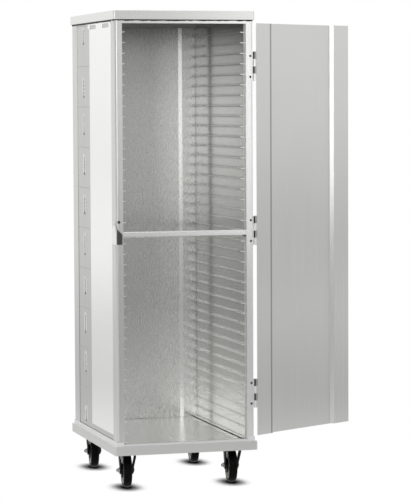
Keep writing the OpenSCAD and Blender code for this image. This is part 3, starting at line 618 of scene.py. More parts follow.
class TRAYCART_OT_finishes(bpy.types.Operator):
    """Gives every carried-over piece its metal, paint or plastic"""

    bl_idname = "traycart.finishes"
    bl_label = "Finishes"

    def execute(self, context):
        look = context.scene.cart_finish
        self.extrusions(look)
        self.sheets(look)
        self.steels(look)
        self.weld_marks(look)
        self.mouldings(look)
        return {"FINISHED"}

    @staticmethod
    def extrusions(look):
        # 6063 aluminium as extruded: a soft grey with faint lines, about 1.7 mm wide so that they show,
        # along the way it left the die
        upright, crosswise, lengthwise = (600, 600, 3), (3, 600, 600), (600, 3, 600)
        # with painted shade in the posts' inner corners
        posts = metal("extruded_aluminium_upright", look.extrusion_colour, 0.30, upright, 0.04,
                      aniso=0.5, corner_shade=0.4)
        paint(["post_front_left", "post_rear_left", "post_rear_right"], posts)
        # the same extrusion on the hinge side, painted paler as a lit copy, and a little softer in its gloss
        pale = metal("extruded_aluminium_lit", look.cover_colour, 0.28, upright, 0.04, aniso=0.5, matte=0.1)
        paint(["post_front_right"] + nodes_with("hinge_post_leaf_"), pale)
        # the base frame, with a painted highlight that whitens its top rim over BASE_TOP
        rails = metal("extruded_aluminium_crosswise", look.rail_colour, 0.34, crosswise, 0.04, edge=1.2,
                      matte=0.1, highlight_above=BASE_TOP)
        paint(["base_frame", "cross_channel_front", "cross_channel_rear"], rails)
        # the same crosswise extrusion, painted paler on the front header and the brace as a lit copy
        bright = metal("lit_aluminium_crosswise", look.cover_colour, 0.26, crosswise, 0.02, matte=0.1)
        paint(["header_front", "mid_bar"], bright)
        # the same aluminium with painted shade on the rear header: a darker grey with a wide, weak gloss
        shaded = metal("shaded_aluminium_crosswise", look.shaded_colour, 0.42, crosswise, 0.04, matte=0.3)
        paint(["header_rear"], shaded)
        # the planks: nearly a mirror on the inner web, satin on the outer skin, with a painted highlight that
        # whitens the front ends, painted light and shade by height and painted shade in the corners
        planks = metal("extruded_aluminium_lengthwise", look.ledge_colour, 0.14, lengthwise, 0.003,
                       rough_range=0.02, outer_tone=0.95, matte=0.05, front_highlight=True, height_shade=True, corner_shade=0.6)
        paint(nodes_with("plank_", "top_rail_"), planks)

    @staticmethod
    def sheets(look):
        # 3003 aluminium sheet, mill rolled: smoother than an extrusion, with fine roll lines
        # the door, with a painted dark line along its near bend
        sheet = metal("rolled_aluminium_sheet", look.sheet_colour, 0.24, (700, 700, 1.0), 0.012, aniso=0.7,
                      edge=0.8, door=door_place())
        paint(["door_panel"], sheet)
        # the back panel, with painted light and shade by height and painted shade in its corners
        back = metal("rolled_aluminium_back", look.back_colour, 0.27, (700, 700, 60), 0.001,
                     rough_range=0.02, aniso=0.5, edge=0.3, height_shade=True, corner_shade=0.2)
        paint(["back_panel"], back)
        cap = metal("rolled_aluminium_cap", look.cap_colour, 0.30, (600, 4, 600), 0.02, edge=0.3)
        paint(["cap"], cap)
        # the deck, with a painted highlight on its front edge and painted shade in its corners
        deck = metal("rolled_aluminium_deck", look.cover_colour, 0.24, (600, 2, 600), 0.02, matte=0.1,
                     front_highlight=True, corner_shade=0.5)
        paint(["deck"], deck)
        # bright rolled aluminium: close to a mirror, slightly clouded
        cover = metal("bright_aluminium_cover", look.cover_colour, 0.20, (90, 1.5, 90), 0.006, blotch=0.01)
        paint(["side_cover_left", "side_cover_right"], cover)

    @staticmethod
    def steels(look):
        # stainless steel, brushed upright, and the same steel painted brighter on the keeper as a highlight
        steel = metal("brushed_stainless_steel", look.steel_colour, 0.30, (700, 700, 30), 0.02)
        paint(nodes_with("hinge_door_", "latch_"), steel)
        highlighted = metal("keeper_steel_highlight", look.keeper_colour, 0.20, (300, 300, 300), 0.01, matte=0.2)
        paint(["keeper"], highlighted)
        # electro-coated steel: a smooth, even black
        coated = moulded("black_coated_steel", look.black_colour, 0.45, shine=0.08)
        paint(nodes_with("caster_plate_", "fork_"), coated)
        # zinc-plated steel, and steel blackened in hot oxide, for the bolts and screws
        metal("zinc_plated_steel", look.zinc_colour, 0.25, (300, 300, 300), 0.01)
        moulded("black_oxide_steel", look.oxide_colour, 0.42)

    @staticmethod
    def weld_marks(look):
        # aluminium weld metal: bright frosted ripples
        metal("weld_metal", look.bead_colour, 0.32, (500, 500, 500), 0.05, matte=0.35)
        # metal greyed by the heat of a weld, and the patch round it, brushed clean
        metal("heat_greyed_aluminium", look.burnt_colour, 0.42, (300, 300, 300), 0.02, matte=0.3)
        metal("brushed_weld_patch", look.brushed_colour, 0.34, (300, 300, 30), 0.02, matte=0.1)

    @staticmethod
    def mouldings(look):
        # rubber pad, cut from sheet: a soft dark grey
        paint(["strike_pad"], moulded("grey_rubber_pad", look.pad_colour, 0.45))
        # nylon, moulded: black with a slight gloss
        moulded("moulded_black_nylon", look.nylon_colour, 0.42)
        # polyurethane sealant, wiped smooth: black and dull; it also darkens the shadow line under the cap's
        # rim
        moulded("black_sealant_and_shadow", look.sealant_colour, 0.55)
        # polypropylene core, moulded, and a rubber tread, cured in a mould
        moulded("moulded_wheel_core", look.core_colour, 0.40)
        moulded("cured_rubber_tread", look.tyre_colour, 0.40, speck=600.0, shine=0.04)


# ---------------------------------------------------------------- casters


class TRAYCART_OT_wheels(bpy.types.Operator):
    """Makes each wheel from a rubber tyre, a ribbed core and thread guards"""

    bl_idname = "traycart.wheels"
    bl_label = "Wheels"

    # radius and height over the wheel's middle plane, in mm
    TYRE = both_sides([(63.3, 0), (63.0, 5), (61.9, 9.5), (60.2, 12.8), (57.6, 14.8), (53.6, 15.6),
                       (50.2, 14.8), (49.5, 12)])
    CORE = both_sides([(50, 12.5), (49, 14.2), (46.5, 14.4), (44.5, 12.6), (42, 7), (20, 5), (16.5, 9),
                       (15, 19.4), (13.5, 20), (6, 20), (5.2, 19)])
    RIB = ((15.5, 4), (15.5, 15), (24, 11.5), (43.5, 11), (44, 5))
    RIB_HALF = 1.4
    GUARD = ((15.6, 16), (27, 14.9), (29, 15.4), (29, 16.4), (26, 19.2), (15.6, 19.8))

    def execute(self, context):
        rib_count = context.scene.cart_hardware.rib_count
        core_material = material_named("moulded_wheel_core")
        guards = [[(r, side * h) for r, h in self.GUARD] for side in (-1, 1)]
        for caster in CASTERS:
            body = "wheel_" + caster
            place = wheel_place(caster)
            rubber = solid_of_revolution("tyre_" + caster, [self.TYRE], place,
                                         material_named("cured_rubber_tread"), 64, body)
            hub = solid_of_revolution("core_" + caster, [self.CORE], place, core_material, 48, body)
            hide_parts(body)
            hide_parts(body)
            ribs = mesh_object("core_ribs_" + caster, lambda bm: self.ribs(bm, place, rib_count),
                               core_material)
            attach(ribs, body)
            solid_of_revolution("thread_guards_" + caster, guards, place,
                                material_named("black_coated_steel"), 40, body)
        return {"FINISHED"}

    def ribs(self, bm, place, count):
        """Radial ribs on both sides of a core"""
        for side in (-1, 1):
            for i in range(count):
                turn = Matrix.Rotation(2 * math.pi * (i + 0.5) / count, 4, "Z")
                rows = [[bm.verts.new(place @ turn @ Vector((r * MM, w * MM, side * h * MM)))
                         for r, h in self.RIB] for w in (-self.RIB_HALF, self.RIB_HALF)]
                for j in range(len(self.RIB)):
                    k = (j + 1) % len(self.RIB)
                    bm.faces.new((rows[0][j], rows[1][j], rows[1][k], rows[0][k]))
                bm.faces.new(rows[0])
                bm.faces.new(list(reversed(rows[1])))
        bmesh.ops.recalc_face_normals(bm, faces=bm.faces)


class TRAYCART_OT_caster_bolts(bpy.types.Operator):
    """Adds the bright axle nuts and the bolts that hold the caster plates"""

    bl_idname = "traycart.caster_bolts"
    bl_label = "Caster bolts"

    # a lock nut on the axle's end: hexagon, collar and the bolt's tip, and a plain bolt head, in mm
    NUT = ((0.01, 0), (8.6, 0), (8.9, 0.8), (8.9, 5.6), (8.0, 6.6), (7.0, 7.0), (6.6, 9.2), (5.6, 10),
           (4.3, 10), (4.3, 11.6), (3.4, 12.4), (0.01, 12.4))
    HEAD = ((0.01, 0), (7.4, 0), (7.5, 0.6), (7.5, 4.2), (6.6, 5), (0.01, 5))
    # from the wheel's middle to the seats on the fork's legs
    NUT_SEAT = 24.6 * MM
    HEAD_SEAT = 24.2 * MM
    # a plate's thickness, its bolts' distances from its edges and their size against the axle's
    PLATE_T = 4 * MM
    EDGE_X = 9 * MM
    EDGE_Y = 10 * MM
    PLATE_BOLT = 0.8
    # how deep the bolts' heads sit in the plate
    SUNK = 0.2 * MM

    def execute(self, context):
        zinc = material_named("zinc_plated_steel")
        nut = head_pattern("nut_pattern", self.NUT, 6, smooth=False)
        head = head_pattern("hex_pattern", self.HEAD, 6, smooth=False)
        spots = []
        for caster in CASTERS:
            place = wheel_place(caster)
            axle = (place.to_3x3() @ Vector((0, 0, 1))).normalized()
            centre = place.translation
            fork = "fork_" + caster
            heads("axle_nut_" + caster, fork, [(centre - axle * self.NUT_SEAT, -axle)], nut, MM, zinc)
            heads("axle_head_" + caster, fork, [(centre + axle * self.HEAD_SEAT, axle)], head, MM, zinc)
            lo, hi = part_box("caster_plate_" + caster)
            under = hi.z - self.PLATE_T + self.SUNK
            spots += [(Vector((x, y, under)), DOWN)
                      for x in (lo.x + self.EDGE_X, hi.x - self.EDGE_X)
                      for y in (lo.y + self.EDGE_Y, hi.y - self.EDGE_Y)]
        heads("plate_bolts", "cabinet", spots, head, self.PLATE_BOLT * MM, zinc)
        bpy.data.objects.remove(nut)
        bpy.data.objects.remove(head)
        return {"FINISHED"}


# ---------------------------------------------------------------- hinges and bumpers


class TRAYCART_OT_screws(bpy.types.Operator):
    """Adds the hinges' countersunk screws"""

    bl_idname = "traycart.screws"
    bl_label = "Screws"

    # all but flush, with a recess for the driver, as shares of the head's radius
    HEAD = ((0.01, -0.3), (0.9, -0.3), (1.0, -0.02), (0.94, 0.05), (0.4, 0.07), (0.36, -0.12), (0.01, -0.12))
    # screw places on a post leaf, from the post's outer side, and on a door leaf, from the hinge axis
    POST_X = 10.5 * MM
    DOOR_X = -15 * MM
    # the leaves' faces: in front of the posts, and outside the hinge axis in the door's own frame
    POST_LEAF = 2.5 * MM
    DOOR_LEAF = 1.0 * MM
    # taken off the height of a post leaf's box, which has the pin's head on top, to find its screws' middle
    POST_TRIM = 3.5 * MM

    def execute(self, context):
        size = context.scene.cart_hardware.screw_radius
        oxide = material_named("black_oxide_steel")
        pattern = head_pattern("screw_pattern", self.HEAD, 20)
        door = door_place()
        posts, doors = [], []
        for i in HINGES:
            lo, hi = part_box("hinge_post_leaf_%d" % i)
            middle = (lo.z + hi.z - self.POST_TRIM) / 2
            for z in (middle - SCREW_RISE, middle + SCREW_RISE):
                posts.append((Vector((HALF_W - self.POST_X, -HALF_D - self.POST_LEAF, z)), FORWARD))
            lo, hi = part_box("hinge_door_leaf_%d" % i)
            middle = (lo.z + hi.z) / 2
            for z in (middle - SCREW_RISE, middle + SCREW_RISE):
                doors.append((door @ Vector((self.DOOR_X, -self.DOOR_LEAF, z)), door.to_3x3() @ FORWARD))
        heads("hinge_post_screws", "cabinet", posts, pattern, size, oxide)
        heads("hinge_door_screws", "door", doors, pattern, size, oxide)
        bpy.data.objects.remove(pattern)
        return {"FINISHED"}


class TRAYCART_OT_bearings(bpy.types.Operator):
    """Puts the black nylon bearings round the door's hinge knuckles; they also stand in for the shade in the
    gap beside them
    """

    bl_idname = "traycart.bearings"
    bl_label = "Hinge bearings"

    # inner and outer radius of a bearing's shell, the arc that it covers, and where it starts and ends
    # as shares of its knuckle
    INNER_R = 5.9 * MM
    OUTER_R = 6.4 * MM
    ARC = [math.radians(angle) for angle in range(165, 256, 10)]
    START = 0.03
    END = 0.97
    # the door leaf's knuckles that have a bearing, counted from below in quarters of its height
    QUARTERS = (1, 3)

    def execute(self, context):
        nylon = material_named("moulded_black_nylon")
        hinge = joint_named("door_hinge")["pos_m"]
        axis = Vector((hinge[0], hinge[1], 0))

        def build(bm):
            for i in HINGES:
                lo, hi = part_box("hinge_door_leaf_%d" % i)
                quarter = (hi.z - lo.z) / 4
                for k in self.QUARTERS:
                    self.shell(bm, axis, lo.z + (k + self.START) * quarter, lo.z + (k + self.END) * quarter)
            bmesh.ops.recalc_face_normals(bm, faces=bm.faces)

        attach(mesh_object("hinge_bearings", build, nylon), "door")
        return {"FINISHED"}

    def shell(self, bm, axis, foot, top):
        """A part of a tube about the hinge axis, from foot to top"""
        corners = ((self.INNER_R, foot), (self.OUTER_R, foot), (self.OUTER_R, top), (self.INNER_R, top))
        rows = [[bm.verts.new(axis + Vector((r * math.cos(a), r * math.sin(a), z))) for a in self.ARC]
                for r, z in corners]
        for here, there in zip(rows, rows[1:] + rows[:1]):
            for m in range(len(self.ARC) - 1):
                bm.faces.new((here[m], here[m + 1], there[m + 1], there[m]))
        for m in (0, -1):
            bm.faces.new([row[m] for row in rows])


class TRAYCART_OT_bumpers(bpy.types.Operator):
    """Adds the round black bumpers on the post and under the brace"""

    bl_idname = "traycart.bumpers"
    bl_label = "Bumpers"

    # radius and height as shares of the bumper's radius
    BUMPER = ((0.01, -0.1), (1.0, -0.1), (1.0, 0.32), (0.86, 0.48), (0.5, 0.55), (0.01, 0.56))
    # the post's bumper from the post's outer side and over the floor, and the brace's from its end and front
    POST_X = 10.7 * MM
    POST_Z = 981.5 * MM
    BRACE_INSET = 6 * MM

    def execute(self, context):
        pattern = head_pattern("bumper_pattern", self.BUMPER, 20)
        brace = low("mid_bar")
        spots = [(Vector((-HALF_W + self.POST_X, -HALF_D, self.POST_Z)), FORWARD),
                 (Vector((POST_INNER - self.BRACE_INSET, brace.y + self.BRACE_INSET, brace.z)), DOWN)]
        heads("door_bumpers", "cabinet", spots, pattern, context.scene.cart_hardware.bumper_radius,
              material_named("moulded_black_nylon"))
        bpy.data.objects.remove(pattern)
        return {"FINISHED"}


# ---------------------------------------------------------------- welds and sealant


class TRAYCART_OT_welds(bpy.types.Operator):
    """Lays the stitch welds and the corner welds"""

    bl_idname = "traycart.welds"
    bl_label = "Welds"

    # how far a stitch weld's upright beads stop short of its foot and top, in mm
    FOOT_SHORT = 7
    TOP_SHORT = 6
    # half the length of the bead across a stitch weld's top
    TOP_HALF = 8 * MM
    # a stitch weld's drops and their spacing are this much bigger than those of a corner weld
    STITCH_SCALE = 2.2
    # the corner beads' middles lie this far inside the posts' faces
    POST_SUNK = 0.2 * MM
    # and inside the base frame's sides, its front and rear, and its foot and top
    BASE_IN_X = 2.6 * MM
    BASE_IN_Y = 0.6 * MM
    BASE_IN_Z = 5 * MM
    BASE_DROP = (2.2 * MM, 2.2 * MM, 3.4 * MM)
    BASE_RIPPLE = 11 * MM

    def execute(self, context):
        hardware = context.scene.cart_hardware
        wide, tall, ripple = hardware.bead_width / 2, hardware.bead_height, hardware.bead_ripple
        seam_y = SEAM_Y - HALF_D
        sides, slots, corners = [], [], []
        for s in (-1, 1):
            x = s * SKIN_X
            for foot, top in STITCHES:
                for y in (seam_y - STITCH_HALF, seam_y + STITCH_HALF):
                    slots.append((Vector((x, y, (foot + self.FOOT_SHORT) * MM)),
                                  Vector((x, y, (top - self.TOP_SHORT) * MM))))
                slots.append((Vector((x, seam_y - self.TOP_HALF, top * MM)),
                              Vector((x, seam_y + self.TOP_HALF, top * MM))))
            outer = s * (HALF_W - self.POST_SUNK)
            for behind, foot, top in CORNER_WELDS:
                y = behind * MM - HALF_D
                sides.append((Vector((outer, y, foot * MM)), Vector((outer, y, top * MM))))
        weld_runs("side_corner_welds", sides, (tall, wide, wide), ripple)
        big = wide * self.STITCH_SCALE
        weld_runs("side_stitch_welds", slots, (tall, big, big), self.STITCH_SCALE * ripple)
        lo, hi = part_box("base_frame")
        for x in (lo.x + self.BASE_IN_X, hi.x - self.BASE_IN_X):
            for y in (lo.y + self.BASE_IN_Y, hi.y - self.BASE_IN_Y):
                corners.append((Vector((x, y, lo.z + self.BASE_IN_Z)),
                                Vector((x, y, BASE_TOP - self.BASE_IN_Z))))
        weld_runs("base_corner_welds", corners, self.BASE_DROP, self.BASE_RIPPLE)
        return {"FINISHED"}


class TRAYCART_OT_heat_marks(bpy.types.Operator):
    """Adds the brushed patches under the stitch welds and their burnt ends"""

    bl_idname = "traycart.heat_marks"
    bl_label = "Heat marks"

    # for each mark: how far up the weld its centre is, its half width in mm and its half height as a
    # share of the weld's height; a brushed patch reaches 6 mm past the beads
    PATCHES = ((0.5, STITCH_HALF / MM + 6, 0.5),)
    BURNT_ENDS = ((0.02, 8, 0.07), (0.96, 6, 0.04))
    # heights over the skin, and how far the marks reach into it
    PATCH_PROUD = 0.2 * MM
    BURNT_PROUD = 0.5 * MM
    SUNK = 0.2 * MM
    # points round a mark, and the power that squares off its round outline
    POINTS = 32
    SQUARING = 0.6

    def execute(self, context):
        self.marks("weld_brushed_patches", "brushed_weld_patch", self.PATCHES, self.PATCH_PROUD)
        self.marks("weld_burnt_ends", "heat_greyed_aluminium", self.BURNT_ENDS, self.BURNT_PROUD)
        return {"FINISHED"}

    def marks(self, name, material, spots, proud):
        """One piece with the same marks on every stitch weld of both sides"""
        def build(bm):
            for s in (-1, 1):
                for foot, top in STITCHES:
                    for up, wide, share in spots:
                        centre = Vector((s * SKIN_X, SEAM_Y - HALF_D, (foot + (top - foot) * up) * MM))
                        self.mark(bm, centre, s, wide * MM, (top - foot) * share * MM, proud)
            bmesh.ops.recalc_face_normals(bm, faces=bm.faces)
        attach(mesh_object(name, build, material_named(material)), "cabinet")

    def mark(self, bm, centre, side, wide, tall, proud):
        """A thin rounded pill on a side wall, with a bevelled edge"""
        turns = [2 * math.pi * i / self.POINTS for i in range(self.POINTS)]
        rim = [tuple(math.copysign(abs(v) ** self.SQUARING, v) for v in (math.cos(t), math.sin(t)))
               for t in turns]
        rows = [[bm.verts.new(centre + Vector((side * h, c * k * wide, t * k * tall))) for c, t in rim]
                for k, h in ((1.0, -self.SUNK), (1.0, proud * 0.6), (0.95, proud))]
        for lower, upper in zip(rows, rows[1:]):
            for i in range(self.POINTS):
                j = (i + 1) % self.POINTS
                bm.faces.new((lower[i], lower[j], upper[j], upper[i]))
        bm.faces.new(rows[-1])
        bm.faces.new(list(reversed(rows[0])))


class TRAYCART_OT_sealant(bpy.types.Operator):
    """Runs a black sealant bead round the body, under the cap's rim; it also stands in for the shadow line
    there
    """

    bl_idname = "traycart.sealant"
    bl_label = "Sealant"

    SEED = 4
    STEP = 12 * MM
    # how far the bead hangs below the rim and swells out of the body, least and most, in mm
    HANG = (3.4, 6.4)
    SWELL = (1.4, 2.2)
    # how far it reaches up behind the rim and into the body
    BEHIND_RIM = 3 * MM
    SUNK = 1 * MM
    # how far down its drop it starts to narrow, and the share of its swell that is left at its foot
    NARROWS = 0.45
    FOOT_SWELL = 0.5

    def execute(self, context):
        draw = random.Random(self.SEED)
        corners = [(-HALF_W, -HALF_D), (HALF_W, -HALF_D), (HALF_W, HALF_D), (-HALF_W, HALF_D)]
        spots = []
        for (x0, y0), (x1, y1) in zip(corners, corners[1:] + corners[:1]):
            length = math.hypot(x1 - x0, y1 - y0)
            out = Vector(((y1 - y0) / length, -(x1 - x0) / length, 0))
            count = max(2, int(length / self.STEP))
            for i in range(count):
                share = (i + 0.5) / count
                spots.append((Vector((x0 + (x1 - x0) * share, y0 + (y1 - y0) * share, 0)), out))

        def build(bm):
            rings = []
            for place, out in spots:
                hang = draw.uniform(*self.HANG) * MM
                swell = draw.uniform(*self.SWELL) * MM
                top = place + Vector((0, 0, CAP_RIM + self.BEHIND_RIM))
                middle = place + Vector((0, 0, CAP_RIM - hang * self.NARROWS))
                foot = place + Vector((0, 0, CAP_RIM - hang))
                rings.append([bm.verts.new(point) for point in (
                    top - out * self.SUNK, top + out * swell, middle + out * swell,
                    foot + out * self.FOOT_SWELL * swell, foot - out * self.SUNK)])
            for here, there in zip(rings, rings[1:] + rings[:1]):
                for j in range(len(here)):
                    k = (j + 1) % len(here)
                    bm.faces.new((here[j], there[j], there[k], here[k]))
            bmesh.ops.recalc_face_normals(bm, faces=bm.faces)

        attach(mesh_object("cap_sealant", build, material_named("black_sealant_and_shadow"), smooth=True), "cabinet")
        return {"FINISHED"}


# ---------------------------------------------------------------- stage


class TRAYCART_OT_stage(bpy.types.Operator):
    """Makes the pale floor, the soft lamps, the world and the camera"""

    bl_idname = "traycart.stage"
    bl_label = "Stage"

    # brightness of the floor that the metal reflects, by distance from the cart in metres
    FLOOR_REACH = 16.0
    FRONT_FLOOR = ((0.0, 0.85), (1.2, 0.78), (2.0, 0.60), (3.2, 0.46), (7.5, 0.42), (14.0, 0.38))
    LEFT_FLOOR = ((0.0, 0.85), (1.2, 0.90), (2.0, 0.85), (3.2, 0.85), (7.5, 0.82), (14.0, 0.70))
    RIGHT_FLOOR = ((0.0, 0.78), (1.2, 0.66), (2.0, 0.53), (3.2, 0.44), (7.5, 0.60), (14.0, 0.44))
    REAR_FLOOR = ((0.0, 0.85), (1.5, 0.82), (3.0, 0.68), (6.0, 0.72), (12.0, 0.95))
    # where the right and the left floor begin and end, as shares of x in the distance
    RIGHT_TURN = (0.1, 0.8)
    LEFT_TURN = (-0.19, -0.27)
    # the dark that gathers under and beside the wheels: lean of the view that tests it, its reach in
    # metres, the openness at which it is darkest and gone, and how bright the darkest is
    SHADES = ((0.0, 0.04, 0.40, 0.99, 0.0), (-2.2, 0.065, 0.72, 0.985, 0.25),
              (2.2, 0.065, 0.72, 0.985, 0.25), (0.0, 0.16, 0.2, 0.75, 0.75))
    FLOOR_HALF = 30

    def execute(self, context):
        studio = context.scene.cart_studio
        scene = context.scene
        scene.view_settings.view_transform = "Standard"
        self.floor()
        self.world(scene, studio)
        # two soft boxes in front of the cart and one above it
        glow = studio.box_glow
        self.lamp("right_box", (2.35, -4.5, 2.0), (2.35, 0.0, 2.0), (2.1, 2.6), glow)
        self.lamp("left_box", (-1.25, -4.5, 2.1), (-1.25, 0.0, 2.1), (1.9, 2.5), 2.3 * glow)
        self.lamp("top_box", (0.0, -0.6, 4.2), (0.0, 0.0, 0.9), (3.0, 3.0), 0.55 * glow)
        self.camera(scene, studio)
        return {"FINISHED"}

    def floor(self):
        """A floor that is white to the camera, scatters light, and is darker in the metal's reflections"""
        def build(bm):
            half = self.FLOOR_HALF
            bm.faces.new([bm.verts.new((x, y, 0)) for x, y in (
                (-half, -half), (half, -half), (half, half), (-half, half))])
        material, tree, shader = new_material("pale_studio_floor")
        shader.inputs["Roughness"].default_value = 0.9
        shader.inputs["Specular IOR Level"].default_value = 0.0
        place = add_node(tree, "ShaderNodeTexCoord").outputs["Object"]
        tone = add_node(tree, "ShaderNodeTexNoise", {"Scale": 3.0, "Detail": 2.0}, {"Vector": place})
        tree.links.new(shade_range(tree, tone.outputs["Fac"], "#F2F2F1", 0.99, 1.01),
                       shader.inputs["Base Color"])
        seen = add_node(tree, "ShaderNodeEmission", links={"Color": self.seen_floor(tree)})
        mirrored = add_node(tree, "ShaderNodeEmission", links={"Color": self.mirrored_floor(tree, place)})
        output = next(node for node in tree.nodes if node.type == "OUTPUT_MATERIAL")
        tree.links.new(by_ray(tree, shader, mirrored, seen), output.inputs["Surface"])
        mesh_object("studio_floor", build, material)

    def seen_floor(self, tree):
        """What the camera sees: white, with the shadow that the wheels leave"""
        shade = None
        for lean, reach, dark, clear, least in self.SHADES:
            aim = Vector((0.0, lean, 1.0)).normalized()
            facing = add_node(tree, "ShaderNodeCombineXYZ", {"X": aim.x, "Y": aim.y, "Z": aim.z})
            hidden = add_node(tree, "ShaderNodeAmbientOcclusion", {"samples": 12, "Distance": reach},
                              {"Normal": facing.outputs[0]})
            soft = add_node(tree, "ShaderNodeMapRange", {
                "interpolation_type": "SMOOTHSTEP", "From Min": dark, "From Max": clear, "To Min": least,
                "To Max": 1.0}, {"Value": hidden.outputs["AO"]})
            if shade:
                shade = add_node(tree, "ShaderNodeMath", {"operation": "MULTIPLY"},
                                 {0: shade.outputs[0], 1: soft.outputs[0]})
            else:
                shade = soft
        return shade.outputs[0]

    def mirrored_floor(self, tree, place):
        """What the metal reflects: the white sweep under the cart, and the darker room floor round it"""
        parts = add_node(tree, "ShaderNodeSeparateXYZ", links={0: place})
        reach = add_node(tree, "ShaderNodeVectorMath", {"operation": "LENGTH"}, {0: place}).outputs["Value"]
        slant = add_node(tree, "ShaderNodeMath", {"operation": "DIVIDE"}, {0: parts.outputs["X"], 1: reach})
        tone = grey_ramp(tree, reach, self.FLOOR_REACH, self.FRONT_FLOOR)
        for (start, end), stops in ((self.RIGHT_TURN, self.RIGHT_FLOOR), (self.LEFT_TURN, self.LEFT_FLOOR)):
            aside = grey_ramp(tree, reach, self.FLOOR_REACH, stops)
            turn = add_node(tree, "ShaderNodeMapRange", {
                "interpolation_type": "SMOOTHSTEP", "From Min": start, "From Max": end},
                {"Value": slant.outputs[0]})
            tone = add_node(tree, "ShaderNodeMix", {"data_type": "RGBA"},
                            {0: turn.outputs[0], 6: tone, 7: aside}).outputs[2]
        rear = grey_ramp(tree, reach, self.FLOOR_REACH, self.REAR_FLOOR)
        behind = add_node(tree, "ShaderNodeMapRange", {
            "interpolation_type": "SMOOTHSTEP", "From Min": -0.8, "From Max": 0.8},
            {"Value": parts.outputs["Y"]})
        return add_node(tree, "ShaderNodeMix", {"data_type": "RGBA"},
                        {0: behind.outputs[0], 6: tone, 7: rear}).outputs[2]

    @staticmethod
    def world(scene, studio):
        """White to the camera; to the metal a white sweep behind the cart and a darker room before it"""
        world = bpy.data.worlds.new("studio_world")
        world.use_nodes = True
        tree = world.node_tree
        tree.nodes.clear()
        direction = add_node(tree, "ShaderNodeTexCoord").outputs["Generated"]
        parts = add_node(tree, "ShaderNodeSeparateXYZ", links={0: direction})
        depth = add_node(tree, "ShaderNodeMapRange", {
            "interpolation_type": "SMOOTHSTEP", "From Min": -0.6, "From Max": 0.7, "To Min": 0.40,
            "To Max": 1.0}, {"Value": parts.outputs["Y"]})
        aside = add_node(tree, "ShaderNodeMapRange", {
            "interpolation_type": "SMOOTHSTEP", "From Min": 0.2, "From Max": 0.9, "To Min": 0.0,
            "To Max": 0.22}, {"Value": parts.outputs["X"]})
        tone = add_node(tree, "ShaderNodeMath", {"operation": "ADD", "use_clamp": True},
                        {0: depth.outputs[0], 1: aside.outputs[0]})
        rise = add_node(tree, "ShaderNodeMapRange", {
            "interpolation_type": "SMOOTHSTEP", "From Min": -0.12, "From Max": 0.05, "To Min": 0.75,
            "To Max": 1.0}, {"Value": parts.outputs["Z"]})
        tone = add_node(tree, "ShaderNodeMath", {"operation": "MULTIPLY"},
                        {0: tone.outputs[0], 1: rise.outputs[0]}).outputs[0]
        room = add_node(tree, "ShaderNodeBackground", {"Strength": studio.world_strength}, {"Color": tone})
        mirror = add_node(tree, "ShaderNodeBackground", {"Strength": 1.0}, {"Color": tone})
        white = add_node(tree, "ShaderNodeBackground", {"Strength": 1.0, "Color": WHITE})
        add_node(tree, "ShaderNodeOutputWorld", links={"Surface": by_ray(tree, room, mirror, white)})
        scene.world = world

    @staticmethod
    def lamp(name, place, target, size, glow):
        """A soft box, width by height, whose face has the given brightness and which no camera sees"""
        data = bpy.data.lights.new(name, "AREA")
        data.shape = "RECTANGLE"
        data.size, data.size_y = size
        data.energy = glow * math.pi * size[0] * size[1]
        lamp = bpy.data.objects.new(name, data)
        aim = Vector(target) - Vector(place)
        lamp.matrix_world = Matrix.Translation(place) @ aim.to_track_quat("-Z", "Y").to_matrix().to_4x4()
        lamp.visible_camera = False
        bpy.context.scene.collection.objects.link(lamp)

    @staticmethod
    def camera(scene, studio):
        """The camera that the photograph was fitted to"""
        yaw, pitch, roll = studio.camera_yaw, studio.camera_pitch, studio.camera_roll
        ahead = Vector((math.sin(yaw) * math.cos(pitch), math.cos(yaw) * math.cos(pitch), -math.sin(pitch)))
        right = Vector((math.cos(yaw), -math.sin(yaw), 0))
        up = right.cross(ahead)
        turned_right = right * math.cos(roll) + up * math.sin(roll)
        turned_up = up * math.cos(roll) - right * math.sin(roll)
        data = bpy.data.cameras.new("photo_camera")
        data.sensor_fit = "AUTO"
        data.sensor_width = 36
        data.lens = studio.camera_lens
        data.clip_end = 100
        camera = bpy.data.objects.new("photo_camera", data)
        axes = Matrix((turned_right, turned_up, -ahead)).transposed()
        camera.matrix_world = Matrix.Translation(studio.camera_place) @ axes.to_4x4()
        scene.collection.objects.link(camera)
        scene.camera = camera


# ---------------------------------------------------------------- add-on


class TRAYCART_PT_panel(bpy.types.Panel):
    """Lists the cart's steps in the sidebar"""

    bl_idname = "TRAYCART_PT_panel"
    bl_label = "Tray Cart"
    bl_space_type = "VIEW_3D"
    bl_region_type = "UI"
    bl_category = "Tray Cart"

    def draw(self, context):
        for step in STEPS:
            self.layout.operator(step.bl_idname)
        for group in (context.scene.cart_finish, context.scene.cart_hardware, context.scene.cart_studio):
            box = self.layout.box()
            for key in group.__annotations__:
                box.prop(group, key)


STEPS = (TRAYCART_OT_finishes, TRAYCART_OT_wheels, TRAYCART_OT_caster_bolts, TRAYCART_OT_screws,
         TRAYCART_OT_welds, TRAYCART_OT_heat_marks, TRAYCART_OT_sealant, TRAYCART_OT_bearings,
         TRAYCART_OT_bumpers, TRAYCART_OT_stage)
SETTINGS = (CartFinishSettings, CartHardwareSettings, CartStudioSettings)


def register():
    for cls in SETTINGS + STEPS + (TRAYCART_PT_panel,):
        bpy.utils.register_class(cls)
    bpy.types.Scene.cart_finish = bpy.props.PointerProperty(type=CartFinishSettings)
    bpy.types.Scene.cart_hardware = bpy.props.PointerProperty(type=CartHardwareSettings)
    bpy.types.Scene.cart_studio = bpy.props.PointerProperty(type=CartStudioSettings)


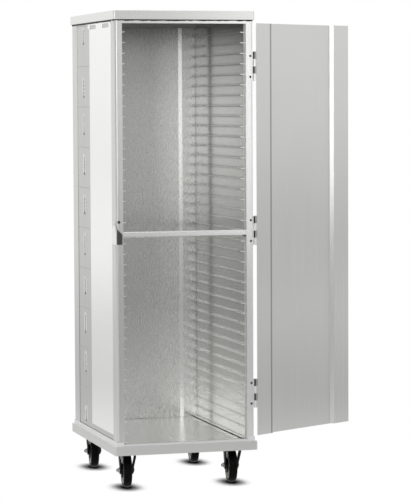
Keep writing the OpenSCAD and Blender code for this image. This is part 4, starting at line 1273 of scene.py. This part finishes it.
def unregister():
    del bpy.types.Scene.cart_studio
    del bpy.types.Scene.cart_hardware
    del bpy.types.Scene.cart_finish
    for cls in reversed(SETTINGS + STEPS + (TRAYCART_PT_panel,)):
        bpy.utils.unregister_class(cls)


def main():
    register()
    bpy.ops.traycart.finishes()
    bpy.ops.traycart.wheels()
    bpy.ops.traycart.caster_bolts()
    bpy.ops.traycart.screws()
    bpy.ops.traycart.welds()
    bpy.ops.traycart.heat_marks()
    bpy.ops.traycart.sealant()
    bpy.ops.traycart.bearings()
    bpy.ops.traycart.bumpers()
    bpy.ops.traycart.stage()


if __name__ == "__main__":
    main()
